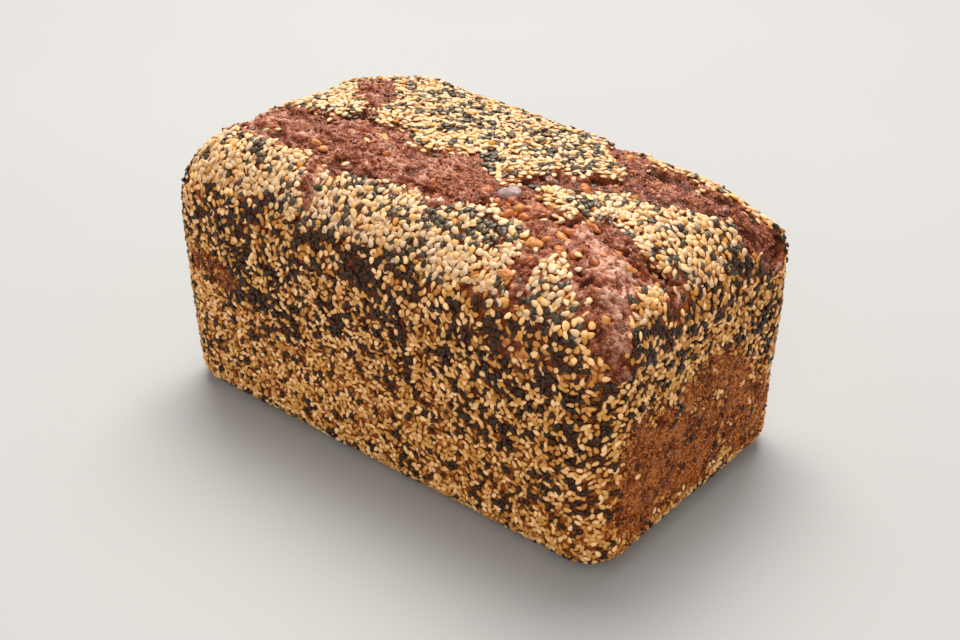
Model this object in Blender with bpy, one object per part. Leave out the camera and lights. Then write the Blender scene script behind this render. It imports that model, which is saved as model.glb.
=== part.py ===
"""Rye bread loaf, baked in a tin and rolled in sesame, as one solid.

The bottom and the four walls follow the tin. Above the tin's rim the dough rose into a dome and
tore open, which left raised seeded plates between shallow torn channels. The solid runs out to the
outer face of the seeds. Lengths are in metres, +X runs along the loaf, -Y is the front wall, +Z is
up, and the origin is at the middle of the bottom.

The surface starts as a cube. The cube is cut into a grid, and each grid point is carried to its
place on the loaf. The top of the grid is the dome rolled out flat, so equal steps on the grid are
nearly equal steps on the crust.
"""

import math

import bmesh
import bpy
import numpy as np

MM = 0.001

# The tin.
LENGTH = 177 * MM
WIDTH = 100 * MM
RIM_HEIGHT = 63.5 * MM
CORNER_RADIUS = 14 * MM
BOTTOM_RADIUS = 8.7 * MM
SIDE_BOTTOM_INSET = 6.5 * MM
SIDE_DRAFT = 0.0457
END_DRAFT = -0.0091

# The dome above the rim.
DOME_HEIGHT = 31.5 * MM
DOME_REACH = 48.3 * MM
DOME_FULLNESS = 3.4
DOME_ROUNDNESS = 1.97
CORNER_OPENING = 0.6
SLOPE_ALONG = -0.0314
SLOPE_ACROSS = -0.0246

# Uneven swelling of the dough.
WALL_SWELL = 0.5 * MM
TOP_SWELL = 0.9 * MM

# The grid on the cube.
GRID_ALONG = 62
GRID_ACROSS = 42
WALL_STEPS = 5
ROUNDING_STEPS = 3
PROFILE_STEPS = 2000

# Torn channels: points on the rolled-out dome with the channel's half width there, and its depth.
TEARS = {
    "long": (
        2.2,
        [
            (-98, -37, 4), (-72, -31, 5), (-52, -26, 9), (-38, -21, 12), (-22, -24, 14),
            (-8, -25, 11), (8, -25, 11), (22, -27, 9), (34, -25, 6), (48, -27, 5), (60, -32, 4),
        ],
    ),
    "corner": (1.9, [(60, -32, 4), (72, -34, 8), (82, -40, 7), (92, -50, 5), (106, -64, 4)]),
    "back": (
        3.2,
        [(24, 38, 3), (36, 30, 4), (47, 19, 7), (58, 17, 10), (68, 23, 11), (79, 36, 8), (100, 46, 7)],
    ),
    "cross": (1.8, [(-42, -4, 4), (-47, 10, 4), (-56, 22, 4), (-66, 42, 5)]),
    "front": (1.2, [(58, -34, 3), (56, -44, 3), (60, -56, 4)]),
    "branch": (1.2, [(-32, -36, 4), (-29, -44, 2), (-28, -51, 1)]),
    "end": (1.2, [(79, -28, 4), (84, -18, 3), (96, -17, 3)]),
}
CHANNEL_SHOULDER = 5 * MM
CHANNEL_FADE = 12 * MM

# Where the crust between the tears stands higher or lower: the same, with a height over the dome.
PLATES = {
    "back": (0.9, [(-48, 36, 10), (30, 38, 10)]),
    "peak": (1.3, [(-60, 42, 5), (-46, 34, 5)]),
    "far_corner": (0.9, [(-94, -52, 8), (-84, -44, 8)]),
    "near_corner": (1.8, [(92, 62, 3), (98, 58, 3)]),
    "far_end": (-1.9, [(-80, -24, 7), (-73, 12, 7)]),
    "sliver": (-1.2, [(48, 40, 4), (82, 52, 6)]),
}
PLATE_SHOULDER = 14 * MM

CRUST_COLOR = (0.30, 0.15, 0.07, 1)
CRUST_ROUGHNESS = 0.7


def rim_half_sides():
    """Half length and half width of the loaf at the tin's rim."""
    rise = RIM_HEIGHT - BOTTOM_RADIUS
    return LENGTH / 2 + END_DRAFT * rise, WIDTH / 2 + SIDE_DRAFT * rise


def dome_profile():
    """Inset, height and length of the dome's profile, walked from the rim to the middle.

    Height over the rim is DOME_HEIGHT times (1 - (1 - inset / DOME_REACH) ^ fullness) ^ (1 /
    roundness), which leaves the rim upright and ends level.
    """
    half_width = rim_half_sides()[1]
    inset = half_width * np.linspace(0, 1, PROFILE_STEPS) ** 2
    closing = np.clip(1 - inset / DOME_REACH, 0, 1) ** DOME_FULLNESS
    height = RIM_HEIGHT + DOME_HEIGHT * (1 - closing) ** (1 / DOME_ROUNDNESS)
    walked = np.concatenate([[0], np.cumsum(np.hypot(np.diff(inset), np.diff(height)))])
    return inset, height, walked


def round_side(from_corner, grid_half, half_side, radius):
    """Place of a point along one side of a rounded rectangle, and its inset from that side.

    The corner of the grid stands at the middle of the corner's arc. The distance from there,
    scaled to the real outline, first runs along the arc and then along the straight side.
    """
    quarter = math.pi / 4
    outline = half_side - radius * (1 - quarter)
    walked = from_corner * outline / np.maximum(grid_half, 1e-9)
    turned = np.minimum(walked / np.maximum(radius, 1e-9), quarter)
    straight = np.maximum(walked - quarter * radius, 0)
    along = half_side - radius + radius * np.sin(quarter - turned) - straight
    return along, radius * (1 - np.cos(quarter - turned))


def on_rounded_rectangle(grid, grid_half, half_sides, radius):
    """Carries points on the ring of a plain rectangle onto a rounded one, in x and y."""
    beyond_x = grid_half[0] - np.abs(grid[0])
    beyond_y = grid_half[1] - np.abs(grid[1])
    end_y, end_inset = round_side(beyond_y, grid_half[1], half_sides[1], radius)
    side_x, side_inset = round_side(beyond_x, grid_half[0], half_sides[0], radius)
    on_end = beyond_x <= beyond_y
    x = np.where(on_end, half_sides[0] - end_inset, side_x) * np.sign(grid[0])
    y = np.where(on_end, end_y, half_sides[1] - side_inset) * np.sign(grid[1])
    return x, y


def dome_points(grid_x, grid_y):
    """The dome's surface: rings of the rolled-out grid become rings that climb the profile."""
    half_length, half_width = rim_half_sides()
    inset, height, walked = dome_profile()
    grid_width = walked[-1]
    grid_length = grid_width + half_length - half_width
    depth = np.minimum(grid_length - np.abs(grid_x), grid_width - np.abs(grid_y))
    ring_inset = np.interp(depth, walked, inset)
    z = np.interp(depth, walked, height)
    room = np.maximum(half_width - ring_inset, 1e-6)
    radius = np.minimum(CORNER_RADIUS + CORNER_OPENING * ring_inset, room)
    x, y = on_rounded_rectangle(
        (grid_x, grid_y),
        (grid_length - depth, grid_width - depth),
        (half_length - ring_inset, half_width - ring_inset),
        radius,
    )
    lift = (z - RIM_HEIGHT) / DOME_HEIGHT
    return np.stack([x, y, z + lift * (SLOPE_ALONG * x + SLOPE_ACROSS * y)], -1)


def wall_points(grid_x, grid_y, grid_half, z):
    """The walls: the tin's rounded rectangle, wider towards the rim and rounded in at the bottom."""
    rise = np.maximum(z - BOTTOM_RADIUS, 0)
    below = np.clip(1 - z / BOTTOM_RADIUS, 0, 1)
    rounding = 1 - np.sqrt(1 - below**2)
    inset = BOTTOM_RADIUS * rounding
    half_sides = (
        LENGTH / 2 + END_DRAFT * rise - inset,
        WIDTH / 2 + SIDE_DRAFT * rise - SIDE_BOTTOM_INSET * rounding,
    )
    radius = np.maximum(CORNER_RADIUS - inset, 1 * MM)
    x, y = on_rounded_rectangle((grid_x, grid_y), grid_half, half_sides, radius)
    return np.stack([x, y, z], -1)


def distance_into(stroke, grid_x, grid_y):
    """How far each grid point lies inside a channel: its half width less the distance to its line."""
    deepest = np.full(grid_x.shape, -np.inf)
    points = np.array(stroke, float) * MM
    for start, end in zip(points[:-1], points[1:]):
        run = end[:2] - start[:2]
        offset = np.stack([grid_x - start[0], grid_y - start[1]], -1)
        share = np.clip(offset @ run / (run @ run), 0, 1)
        distance = np.linalg.norm(offset - share[..., None] * run, axis=-1)
        half_width = start[2] + share * (end[2] - start[2])
        deepest = np.maximum(deepest, half_width - distance)
    return deepest


def eased(share):
    """A smooth step from 0 to 1."""
    share = np.clip(share, 0, 1)
    return share * share * (3 - 2 * share)


def torn_depth(grid_x, grid_y, grid_half):
    """Depth of the torn channels: the deepest of them, eased in at its edges and faded at the rim."""
    depth = np.zeros(grid_x.shape)
    for deep, stroke in TEARS.values():
        inside = distance_into(stroke, grid_x, grid_y)
        depth = np.maximum(depth, deep * MM * eased(inside / CHANNEL_SHOULDER + 0.5))
    from_rim = np.minimum(grid_half[0] - np.abs(grid_x), grid_half[1] - np.abs(grid_y))
    return depth * eased(from_rim / CHANNEL_FADE)


def plate_height(grid_x, grid_y):
    """Height of the plates over the dome: the sum of them all, each eased in over its wide shoulder."""
    height = np.zeros(grid_x.shape)
    for high, stroke in PLATES.values():
        inside = distance_into(stroke, grid_x, grid_y)
        height += high * MM * eased(inside / PLATE_SHOULDER + 0.5)
    return height


def swelling(points):
    """Slow waves in all three directions, between -1 and 1, that make the dough uneven."""
    x, y, z = (points / MM).T
    first = np.sin(x / 11 + 0.6) * np.sin(y / 9 - 0.4) * np.cos(z / 13)
    second = np.sin(x / 6.1 - y / 8.3 + 1.9) * np.sin(z / 7.7 + y / 12 + 0.8)
    return 0.6 * first + 0.4 * second


def outwards(points):
    """Direction out of the crust: away from the nearest point of a box in the loaf's core."""
    half_length, half_width = rim_half_sides()
    core_depth = 35 * MM
    reach = np.array([half_length - core_depth, half_width - core_depth])
    core = points.copy()
    core[:, :2] = np.clip(points[:, :2], -reach, reach)
    core[:, 2] = np.clip(points[:, 2], core_depth, RIM_HEIGHT + DOME_HEIGHT - core_depth)
    away = points - core
    return away / np.linalg.norm(away, axis=1)[:, None]


def grid_on_cube():
    """A cube from -1 to 1 with its sides cut into the grid and its bottom left as one face."""
    mesh = bmesh.new()
    bmesh.ops.create_cube(mesh, size=2)
    wall_cuts = WALL_STEPS + ROUNDING_STEPS
    for axis, steps in enumerate((GRID_ALONG, GRID_ACROSS, wall_cuts)):
        normal = [0, 0, 0]
        normal[axis] = 1
        for step in range(1, steps):
            place = [0, 0, 0]
            place[axis] = 2 * step / steps - 1
            everything = mesh.verts[:] + mesh.edges[:] + mesh.faces[:]
            bmesh.ops.bisect_plane(mesh, geom=everything, plane_co=place, plane_no=normal)
    bottom = [face for face in mesh.faces if face.calc_center_median().z < -0.999]
    bmesh.ops.dissolve_faces(mesh, faces=bottom, use_verts=False)
    return mesh


def wall_height(level):
    """Height of a wall ring: even steps round the bottom's quarter circle, then up to the rim."""
    share = (level + 1) / 2 * (WALL_STEPS + ROUNDING_STEPS)
    angle = np.clip(share / ROUNDING_STEPS, 0, 1) * math.pi / 2
    up = np.maximum(share - ROUNDING_STEPS, 0) / WALL_STEPS
    return BOTTOM_RADIUS * (1 - np.cos(angle)) + up * (RIM_HEIGHT - BOTTOM_RADIUS)


def loaf_points(cube_points):
    """Carries the gridded cube's points onto the loaf, with its channels and its swelling."""
    half_length, half_width = rim_half_sides()
    grid_width = dome_profile()[2][-1]
    grid_length = grid_width + half_length - half_width
    grid_x = cube_points[:, 0] * grid_length
    grid_y = cube_points[:, 1] * grid_width
    grid_half = (grid_length, grid_width)
    on_top = cube_points[:, 2] > 0.999
    walls = wall_points(grid_x, grid_y, grid_half, wall_height(cube_points[:, 2]))
    points = np.where(on_top[:, None], dome_points(grid_x, grid_y), walls)
    z = points[:, 2]
    swell = WALL_SWELL + (TOP_SWELL - WALL_SWELL) * eased((z - RIM_HEIGHT) / DOME_HEIGHT)
    relief = swell * swelling(points) * np.clip(z / BOTTOM_RADIUS, 0, 1)
    on_dome = plate_height(grid_x, grid_y) - torn_depth(grid_x, grid_y, grid_half)
    relief += np.where(on_top, on_dome, 0)
    points += outwards(points) * relief[:, None]
    middle = (points.min(axis=0) + points.max(axis=0)) / 2
    points[:, :2] -= middle[:2]
    return points


def crust_material():
    """Browned crust, as one plain colour."""
    material = bpy.data.materials.new("crust")
    material.use_nodes = True
    shader = material.node_tree.nodes["Principled BSDF"]
    shader.inputs["Base Color"].default_value = CRUST_COLOR
    shader.inputs["Roughness"].default_value = CRUST_ROUGHNESS
    shader.inputs["Metallic"].default_value = 0
    return material


def make_loaf(collection):
    """The loaf's solid, in its collection."""
    mesh = grid_on_cube()
    cube_points = np.array([vert.co for vert in mesh.verts], float)
    for vert, point in zip(mesh.verts, loaf_points(cube_points)):
        vert.co = point
    bmesh.ops.recalc_face_normals(mesh, faces=mesh.faces[:])
    data = bpy.data.meshes.new("loaf")
    mesh.to_mesh(data)
    mesh.free()
    data.materials.append(crust_material())
    data.shade_smooth()
    data.set_sharp_from_angle(angle=math.radians(50))
    loaf = bpy.data.objects.new("loaf", data)
    collection.objects.link(loaf)
    return loaf


def main():
    for thing in list(bpy.data.objects):
        bpy.data.objects.remove(thing)
    collection = bpy.data.collections.new("rye_bread_loaf")
    bpy.context.scene.collection.children.link(collection)
    make_loaf(collection)


main()
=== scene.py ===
"""Rye bread loaf baked in a tin: its crust, torn dome, sesame coat and grain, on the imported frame.

Every surface is worked out with numpy as whole arrays. Lengths in the tables are millimetres, and
lengths in the settings and in the pieces are metres. +X runs along the loaf, -Y is the front wall.
"""

import math

import bpy
import numpy as np
from bpy.props import FloatProperty, FloatVectorProperty, IntProperty, PointerProperty
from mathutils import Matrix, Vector


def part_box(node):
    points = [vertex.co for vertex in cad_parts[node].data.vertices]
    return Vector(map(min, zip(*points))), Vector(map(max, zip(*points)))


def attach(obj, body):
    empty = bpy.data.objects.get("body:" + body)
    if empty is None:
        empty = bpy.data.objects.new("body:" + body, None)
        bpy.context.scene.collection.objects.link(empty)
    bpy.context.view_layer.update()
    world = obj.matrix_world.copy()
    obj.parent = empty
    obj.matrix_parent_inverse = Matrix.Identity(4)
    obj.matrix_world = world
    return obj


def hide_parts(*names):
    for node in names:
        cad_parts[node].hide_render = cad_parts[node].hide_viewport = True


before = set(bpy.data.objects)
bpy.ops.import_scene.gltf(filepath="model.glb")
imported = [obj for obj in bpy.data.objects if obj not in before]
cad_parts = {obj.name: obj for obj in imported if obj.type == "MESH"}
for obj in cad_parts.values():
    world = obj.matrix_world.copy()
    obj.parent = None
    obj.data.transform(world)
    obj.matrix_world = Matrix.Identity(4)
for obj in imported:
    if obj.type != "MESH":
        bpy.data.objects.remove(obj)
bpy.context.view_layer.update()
LOAF_LOW, LOAF_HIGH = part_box("loaf")

bl_info = {
    "name": "Seeded Rye Tin Loaf",
    "version": (1, 0, 0),
    "blender": (4, 5, 0),
    "location": "3D View > Sidebar > Rye Loaf",
    "description": "Builds a tin-baked rye loaf with a torn dome and a sesame coat",
    "category": "Add Mesh",
}

MM = 0.001
# Points of the curve that the dome follows from its rim to its middle.
PROFILE_STEPS = 2000
# Steps over which a surface's direction is measured: on the dome's grid, round the walls and up them.
GRID_STEP = 0.6 * MM
ROUND_STEP = 0.001
RISE_STEP = 0.4 * MM
# A face belongs to a wall or an end when this share of its normal points that way.
FACES = 0.8
# Random places that are tried, before seeds and grains that lie too close are left out.
WALL_TRIES = 90000
BOTTOM_TRIES = 30000
GRAIN_TRIES = 60000
# Lines of the grids of the dome and the bottom, and levels of the walls in the rounding and above it.
DOME_LINES = (384, 238)
FLOOR_LINES = (171, 173)
ROUNDING_LEVELS = 14
WALL_LEVELS = 76
# Rings of the dome's skirt: how far each goes down inside the walls, and how far in. The last point is
# as far under the rim as the closing depth.
SKIRT = ((1.0, 1.05), (2.2, 1.2), (3.6, 1.8))
CLOSING_DEPTH = 6
# Cells each way that the key of a place counts, and the steps to a cell and its neighbours.
CELLS = 8192
NEIGHBOURS = [np.array([cell % 3, cell // 3 % 3, cell // 9]) - 1 for cell in range(27)]
# How far the top of the wall's crust is tucked in and up under the dome.
TUCK = 1.6

# Where the dome tore: the depth of each tear, and its outline on the rolled-out dome.
TEARS = {
    "long": (
        1.5,
        [
            (-105, -38), (-98, -41), (-88, -42), (-74, -40), (-62, -37), (-47, -37), (-40, -36),
            (-31, -39), (-21, -39), (-14, -38), (-10, -36), (-5, -37), (7, -35), (17, -38), (21, -36),
            (25, -33), (34, -30), (39, -32), (48, -32), (51, -34), (53, -42), (56, -50), (60, -56),
            (63, -54), (60, -46), (62, -39), (66, -37), (72, -43), (82, -51), (93, -59), (103, -65),
            (114, -72), (113, -62), (106, -57), (101, -52), (96, -49), (90, -42), (84, -38), (84, -30),
            (86, -21), (81, -17), (77, -23), (71, -19), (63, -18), (61, -26), (53, -25), (47, -19),
            (42, -15), (33, -16), (29, -15), (25, -17), (15, -13), (10, -8), (4, -10), (-4, -11),
            (-8, -14), (-13, -14), (-19, -10), (-25, -6), (-32, -9), (-36, -6), (-40, -7), (-47, -13),
            (-58, -22), (-66, -19), (-80, -24), (-92, -29), (-101, -34),
        ],
    ),
    "back": (
        2.1,
        [
            (29, -15), (34, -15), (34, -11), (42, -10), (49, -11), (51, -3), (55, 4), (60, 2), (66, 6),
            (71, 14), (77, 21), (81, 26), (86, 26), (90, 27), (95, 34), (101, 42), (106, 50), (102, 57),
            (95, 55), (88, 50), (83, 47), (79, 44), (75, 40), (70, 37), (60, 35), (54, 31), (48, 32),
            (44, 37), (36, 43), (26, 49), (22, 46), (30, 36), (33, 28), (39, 22), (46, 20), (53, 17),
            (48, 12), (43, 9), (40, 1), (32, 1), (28, -6),
        ],
    ),
    "cross": (
        1.3,
        [
            (-44, -9), (-34, -7), (-37, -3), (-40, 6), (-47, 15), (-57, 24), (-64, 32), (-71, 34),
            (-73, 27), (-69, 20), (-59, 10), (-49, 3), (-43, -4),
        ],
    ),
    "branch": (0.9, [(-38, -36), (-30, -38), (-28, -45), (-27, -53), (-31, -53), (-35, -44)]),
    "end": (
        0.9,
        [(80, -24), (82, -18), (84, -12), (89, -13), (93, -17), (95, -22), (91, -24), (88, -20), (84, -26)],
    ),
}
TEAR_SHOULDER = 2.2
TEAR_FADE = 8

# Deep, narrow crevices in the tears and under the edges of the plates: points with half width, and depth.
CREVICES = [
    (1.1, [(-20, -14, 0.7), (-15, -18, 1.0), (-7, -19, 0.7)]),
    (1.0, [(-40, -19, 0.6), (-37, -21, 0.9), (-34, -23, 0.5)]),
    (1.0, [(-37, -17, 0.5), (-33, -18, 0.9), (-30, -18, 0.5)]),
    (1.1, [(-6, -12, 0.7), (-1, -12, 1.1), (3, -11, 0.7)]),
    (1.7, [(25, -14, 0.7), (29, -11, 1.6), (34, -8, 1.3), (38, -6, 0.7)]),
    (1.4, [(26, -26, 0.8), (30, -28, 1.3), (34, -31, 0.7)]),
    (2.0, [(65, -24, 0.9), (69, -27, 1.6), (73, -25, 0.9)]),
    (2.0, [(76, -22, 0.8), (81, -18, 1.5), (87, -15, 1.0)]),
    (1.4, [(84, -12, 0.9), (88, -8, 1.2), (91, -3, 0.8)]),
    (2.1, [(50, 28, 0.8), (57, 30, 1.5), (64, 31, 1.7), (70, 33, 1.3)]),
    (1.6, [(72, 31, 1.0), (76, 36, 1.3), (79, 41, 0.9)]),
    (1.5, [(43, 6, 0.9), (46, 9, 1.4), (51, 14, 0.9)]),
    (1.1, [(-60, -22, 0.8), (-52, -18, 1.1), (-46, -13, 0.8)]),
    (1.2, [(-42, -8, 0.9), (-43, -1, 1.0), (-50, 9, 0.8)]),
    (1.1, [(44, -28, 0.8), (48, -28, 1.2), (52, -26, 0.7)]),
    (2.0, [(77, -44, 0.6), (80, -43, 0.8)]),
    (0.9, [(12, -31, 0.5), (16, -30, 0.8), (19, -31, 0.4)]),
    (1.0, [(-10, -28, 0.5), (-6, -27, 0.8), (-2, -28, 0.4)]),
    (1.0, [(58, 12, 0.5), (62, 14, 0.9), (65, 18, 0.5)]),
    (1.0, [(-60, 26, 0.6), (-57, 22, 1.0), (-53, 19, 0.6)]),
]

# Where the torn crust is painted lighter or darker, partly as painted highlight and shade and partly as
# paler or darker crust: the change, and points with half width.
TORN_LIGHT_AND_BAKE = [
    # Painted highlight on the near corner of the tear, which faces the light.
    (0.36, [(78, -34, 5), (90, -45, 5), (95, -50, 4)]),
    (-0.26, [(104, -62, 3), (110, -69, 4)]),
    (0.16, [(62, -40, 5), (72, -30, 5)]),
    # Painted shade in the back tear, over darker crust.
    (-0.12, [(56, 20, 5), (66, 22, 5), (84, 36, 4)]),
    # Painted shade in the crack under the back flap, where the crust is also burnt.
    (-0.60, [(50, 30, 0), (60, 31, 0), (68, 32, 0), (75, 36, 0), (82, 43, 0)]),
    (0.10, [(-100, -36, 7), (-70, -28, 7)]),
    (-0.16, [(14, -26, 6), (36, -22, 6)]),
]
TONE_EDGE = 8

# Where the bran in the tears is toasted orange.
WARM_TEAR = [(26, -24, 5), (44, -26, 6), (62, -35, 6), (74, -28, 4)]

# Where the crust between the tears stands higher or lower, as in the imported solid.
PLATES = {
    "back": (0.9, [(-48, 36, 10), (30, 38, 10)]),
    "peak": (1.3, [(-60, 42, 5), (-46, 34, 5)]),
    "far_corner": (0.9, [(-94, -52, 8), (-84, -44, 8)]),
    "near_corner": (1.8, [(92, 62, 3), (98, 58, 3)]),
    "far_end": (-1.9, [(-80, -24, 7), (-73, 12, 7)]),
    "sliver": (-1.2, [(48, 40, 4), (82, 52, 6)]),
}
PLATE_SHOULDER = 14

# Places with few seeds. On the dome: grid points. On the walls: place along the wall and height.
SPARSE_TOP = [(46, -56, 3), (60, -62, 5), (70, -66, 4)]
RED_TOP = [(88, -12, 3), (96, -19, 5)]
THIN_TOP = [(22, 36, 4), (36, 33, 4)]
BARE_END_NEAR = [(-31, 20, 12.5), (-30, 33, 12.5), (-18, 26, 16), (-6, 24, 15), (4, 21, 12)]
SPARSE_END_NEAR = [(-8, 41, 6), (4, 43, 6), (12, 41, 8), (19, 30, 12), (28, 18, 12), (34, 9, 6)]
BARE_END_FAR = [(-28, 14, 8), (-12, 24, 12), (4, 31, 12), (20, 22, 10), (30, 14, 6)]
SPARSE_FRONT = [(-71, 50, 5), (-60, 46, 4)]
SPARSE_BACK = [(-34, 44, 7), (-22, 40, 4)]

# Where black seeds gather and where they are few: on the dome, on the front wall and on the near end.
DARK_TOP = [
    [(-62, -40, 2.5), (-58, -41, 2.5)], [(-53, -43, 2.5), (-48, -43, 2)],
    [(-32, -43, 2.5), (-28, -46, 2.5)], [(-19, -41, 2.5), (-12, -38, 2.5), (-4, -39, 2.5)],
    [(-14, -44, 2)], [(4, -43, 2.5), (9, -44, 2.5)], [(19, -40, 2.5), (24, -40, 2)],
    [(36, -34, 2.5), (38, -37, 2)], [(43, -37, 2.5), (46, -34, 2.5)], [(32, -43, 2.5), (40, -41, 2.5)],
    [(48, -40, 2)], [(-24, 12, 2)], [(-14, 12, 2.5), (-7, 14, 2.5)], [(-31, 17, 2.5)], [(-34, 27, 2.5)],
    [(-19, -6, 2.5), (-15, -8, 2.5)], [(-10, -11, 2)], [(8, -4, 2.5), (16, -6, 2.5)], [(34, 24, 2.5)],
    [(36, 16, 2.5)], [(-4, -6, 2)], [(5, 5, 2.5)], [(-10, 2, 2)], [(26, 16, 2.5)], [(15, 28, 2.5)],
    [(16, -11, 2)], [(25, -11, 2), (29, -12, 2)], [(35, -14, 3)], [(53, -16, 2.5), (62, -21, 2.5)],
    [(57, -5, 2)], [(85, 26, 3), (84, 31, 2)], [(89, 18, 2.5)], [(77, 9, 2)], [(80, 18, 2)], [(75, 2, 2)],
    [(85, 1, 2.5)], [(65, -11, 2.5)], [(86, -11, 3), (89, -7, 2.5)], [(64, -52, 2.5)], [(58, -45, 2)],
    [(75, -54, 2)], [(-80, -50, 2.5)], [(-90, -46, 2)], [(-70, -47, 2)], [(-40, -49, 2)],
    [(20, -50, 2.5)], [(52, -52, 3)],
]
DARK_FRONT = [
    [(-68, 18, 3), (-64, 17, 3)], [(-62, 60, 6), (-50, 56, 8), (-40, 60, 7)],
    [(-54, 44, 6), (-44, 42, 6)], [(-40, 33, 4), (-36, 35, 4)], [(-22, 45, 4), (-14, 47, 4)],
    [(6, 60, 4), (16, 58, 4)], [(49, 57, 4), (57, 55, 5)], [(38, 46, 4), (42, 38, 4), (51, 36, 4)],
    [(66, 28, 4), (77, 28, 4)], [(46, 18, 4), (53, 16, 4)], [(74, 16, 4), (81, 14, 4)], [(14, 12, 3)],
    [(-27, 24, 3)], [(30, 55, 4)], [(72, 44, 4), (84, 48, 4)], [(66, 60, 4), (80, 60, 4)], [(-14, 33, 3)],
    [(66, 12, 3)], [(85, 28, 4), (84, 8, 3)], [(60, 34, 3)], [(28, 30, 3), (34, 28, 3)],
]
GOLDEN_FRONT = [
    [(-76, 24, 7), (-50, 24, 6), (-20, 16, 8), (14, 22, 8)], [(0, 45, 6), (22, 46, 6)],
    [(-76, 44, 6), (-66, 46, 5)], [(8, 36, 5), (24, 38, 4)], [(60, 46, 4)], [(28, 14, 6)],
    [(58, 26, 4), (60, 12, 4)],
]
DARK_END = [
    [(23, 66, 4), (22, 56, 4), (30, 50, 5), (37, 42, 5)], [(-22, 62, 4), (-15, 61, 3)], [(-31, 52, 3)],
    [(8, 65, 4)], [(-12, 55, 4)], [(12, 47, 3), (17, 43, 3)], [(34, 32, 3)], [(40, 56, 5)],
]
# Single seeds and small groups on the near end's bare patch: place across, height, reach and whether black.
STRAYS_END = [
    (-18, 38, 1.6, 1), (-15, 41, 1.4, 1), (-6, 27, 1.3, 1), (-2, 18, 1.1, 1), (8, 17, 1.6, 1),
    (14, 19, 1.2, 1), (12, 28, 1.2, 1), (24, 23, 1.2, 1), (-38, 27, 1.1, 1), (-41, 22, 1.1, 1),
    (6, 37, 1.9, 0), (8, 36, 1.5, 0), (6, 31, 1.3, 0), (7, 26, 1.4, 0), (9, 22, 1.4, 0),
    (11, 19, 1.4, 0), (6, 10, 1.9, 0), (13, 12, 1.7, 0), (16, 11, 1.4, 0), (22, 33, 1.5, 0),
    (27, 33, 1.6, 0), (14, 32, 1.2, 0), (-34, 30, 0.9, 0), (-37, 20, 0.9, 0), (28, 24, 1.3, 0),
    (32, 20, 1.2, 0), (20, 20, 1.2, 0), (-9, 10, 1.5, 0), (-42, 12, 1.5, 0),
]

# How length, width and thickness differ from the settings on pressed and on loose seeds.
PRESSED_SHAPE = (0.92, 0.98, 1.18)
LOOSE_SHAPE = (1.02, 1.09, 1.02)
# Mean length, width and thickness of the grains baked into the bare crust, and their least distance.
GRAIN_SIZE = (1.25, 0.90, 0.62)
GRAIN_GAP = 0.74 * MM
# Flakes and crumbs: pattern's points around and rings, mean size, and spread of the tumbling.
FLAKE_KINDS = (
    ("bran_flakes", "flakes", (7, 2), (1.9, 1.15, 0.34), 0.45),
    ("crumbs", "crumbs", (6, 2), (0.95, 0.75, 0.6), 0.8),
)
# Tries for each flake or crumb that is wanted, as only places in the tears are kept.
FLAKE_TRIES = 12
# The pieces of sesame: name, slot and finish.
PRESSED_KINDS = (
    ("pressed_black", "black_sesame", "glazed sesame"),
    ("pressed_golden", "pale_sesame", "golden sesame"),
    ("pressed_amber", "pale_sesame", "amber sesame"),
    ("pressed_toasted", "pale_sesame", "toasted sesame"),
    ("pressed_brown", "pale_sesame", "brown sesame"),
)
LOOSE_KINDS = (
    ("loose_black", "black_sesame", "black sesame"),
    ("loose_ivory", "pale_sesame", "ivory sesame"),
    ("loose_golden", "pale_sesame", "cream sesame"),
    ("loose_toasted", "pale_sesame", "toasted sesame"),
    ("rim_black", "black_sesame", "glazed sesame"),
    ("rim_golden", "pale_sesame", "golden sesame"),
)
# The lower and the upper layer of loose seeds: places tried, shares of strays and of spill in the tears,
# height at the rim and rise to the plates with its unevenness, share of steep seeds and spread of pitch.
LOOSE_LAYERS = (
    {
        "upper": False, "tries": 70000, "strays": 0.012, "spill": 0.16,
        "rim_lift": -0.50, "rise": 0.20, "uneven": 0.14, "steep": 0.14, "pitch": 0.12,
    },
    {
        "upper": True, "tries": 40000, "strays": 0.004, "spill": 0,
        "rim_lift": -0.08, "rise": 0.26, "uneven": 0.16, "steep": 0.09, "pitch": 0.17,
    },
)

# What the camera and the lights point at, and each light: its place, its side and its colour.
CAMERA_AIM = (0.0197, -0.0201, 0.0479)
LIGHT_AIM = (0, 0, 0.05)
LIGHTS = {
    "key": ((-0.40, 0.50, 1.45), 1.05, (1.0, 0.985, 0.96)),
    "fill": ((0.85, -1.25, 0.85), 1.1, (1.0, 0.98, 0.95)),
}
# Points each way of the floor, and how far it lies under the loaf.
FLOOR_POINTS = 13
FLOOR_DROP = 0.02 * MM

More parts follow.
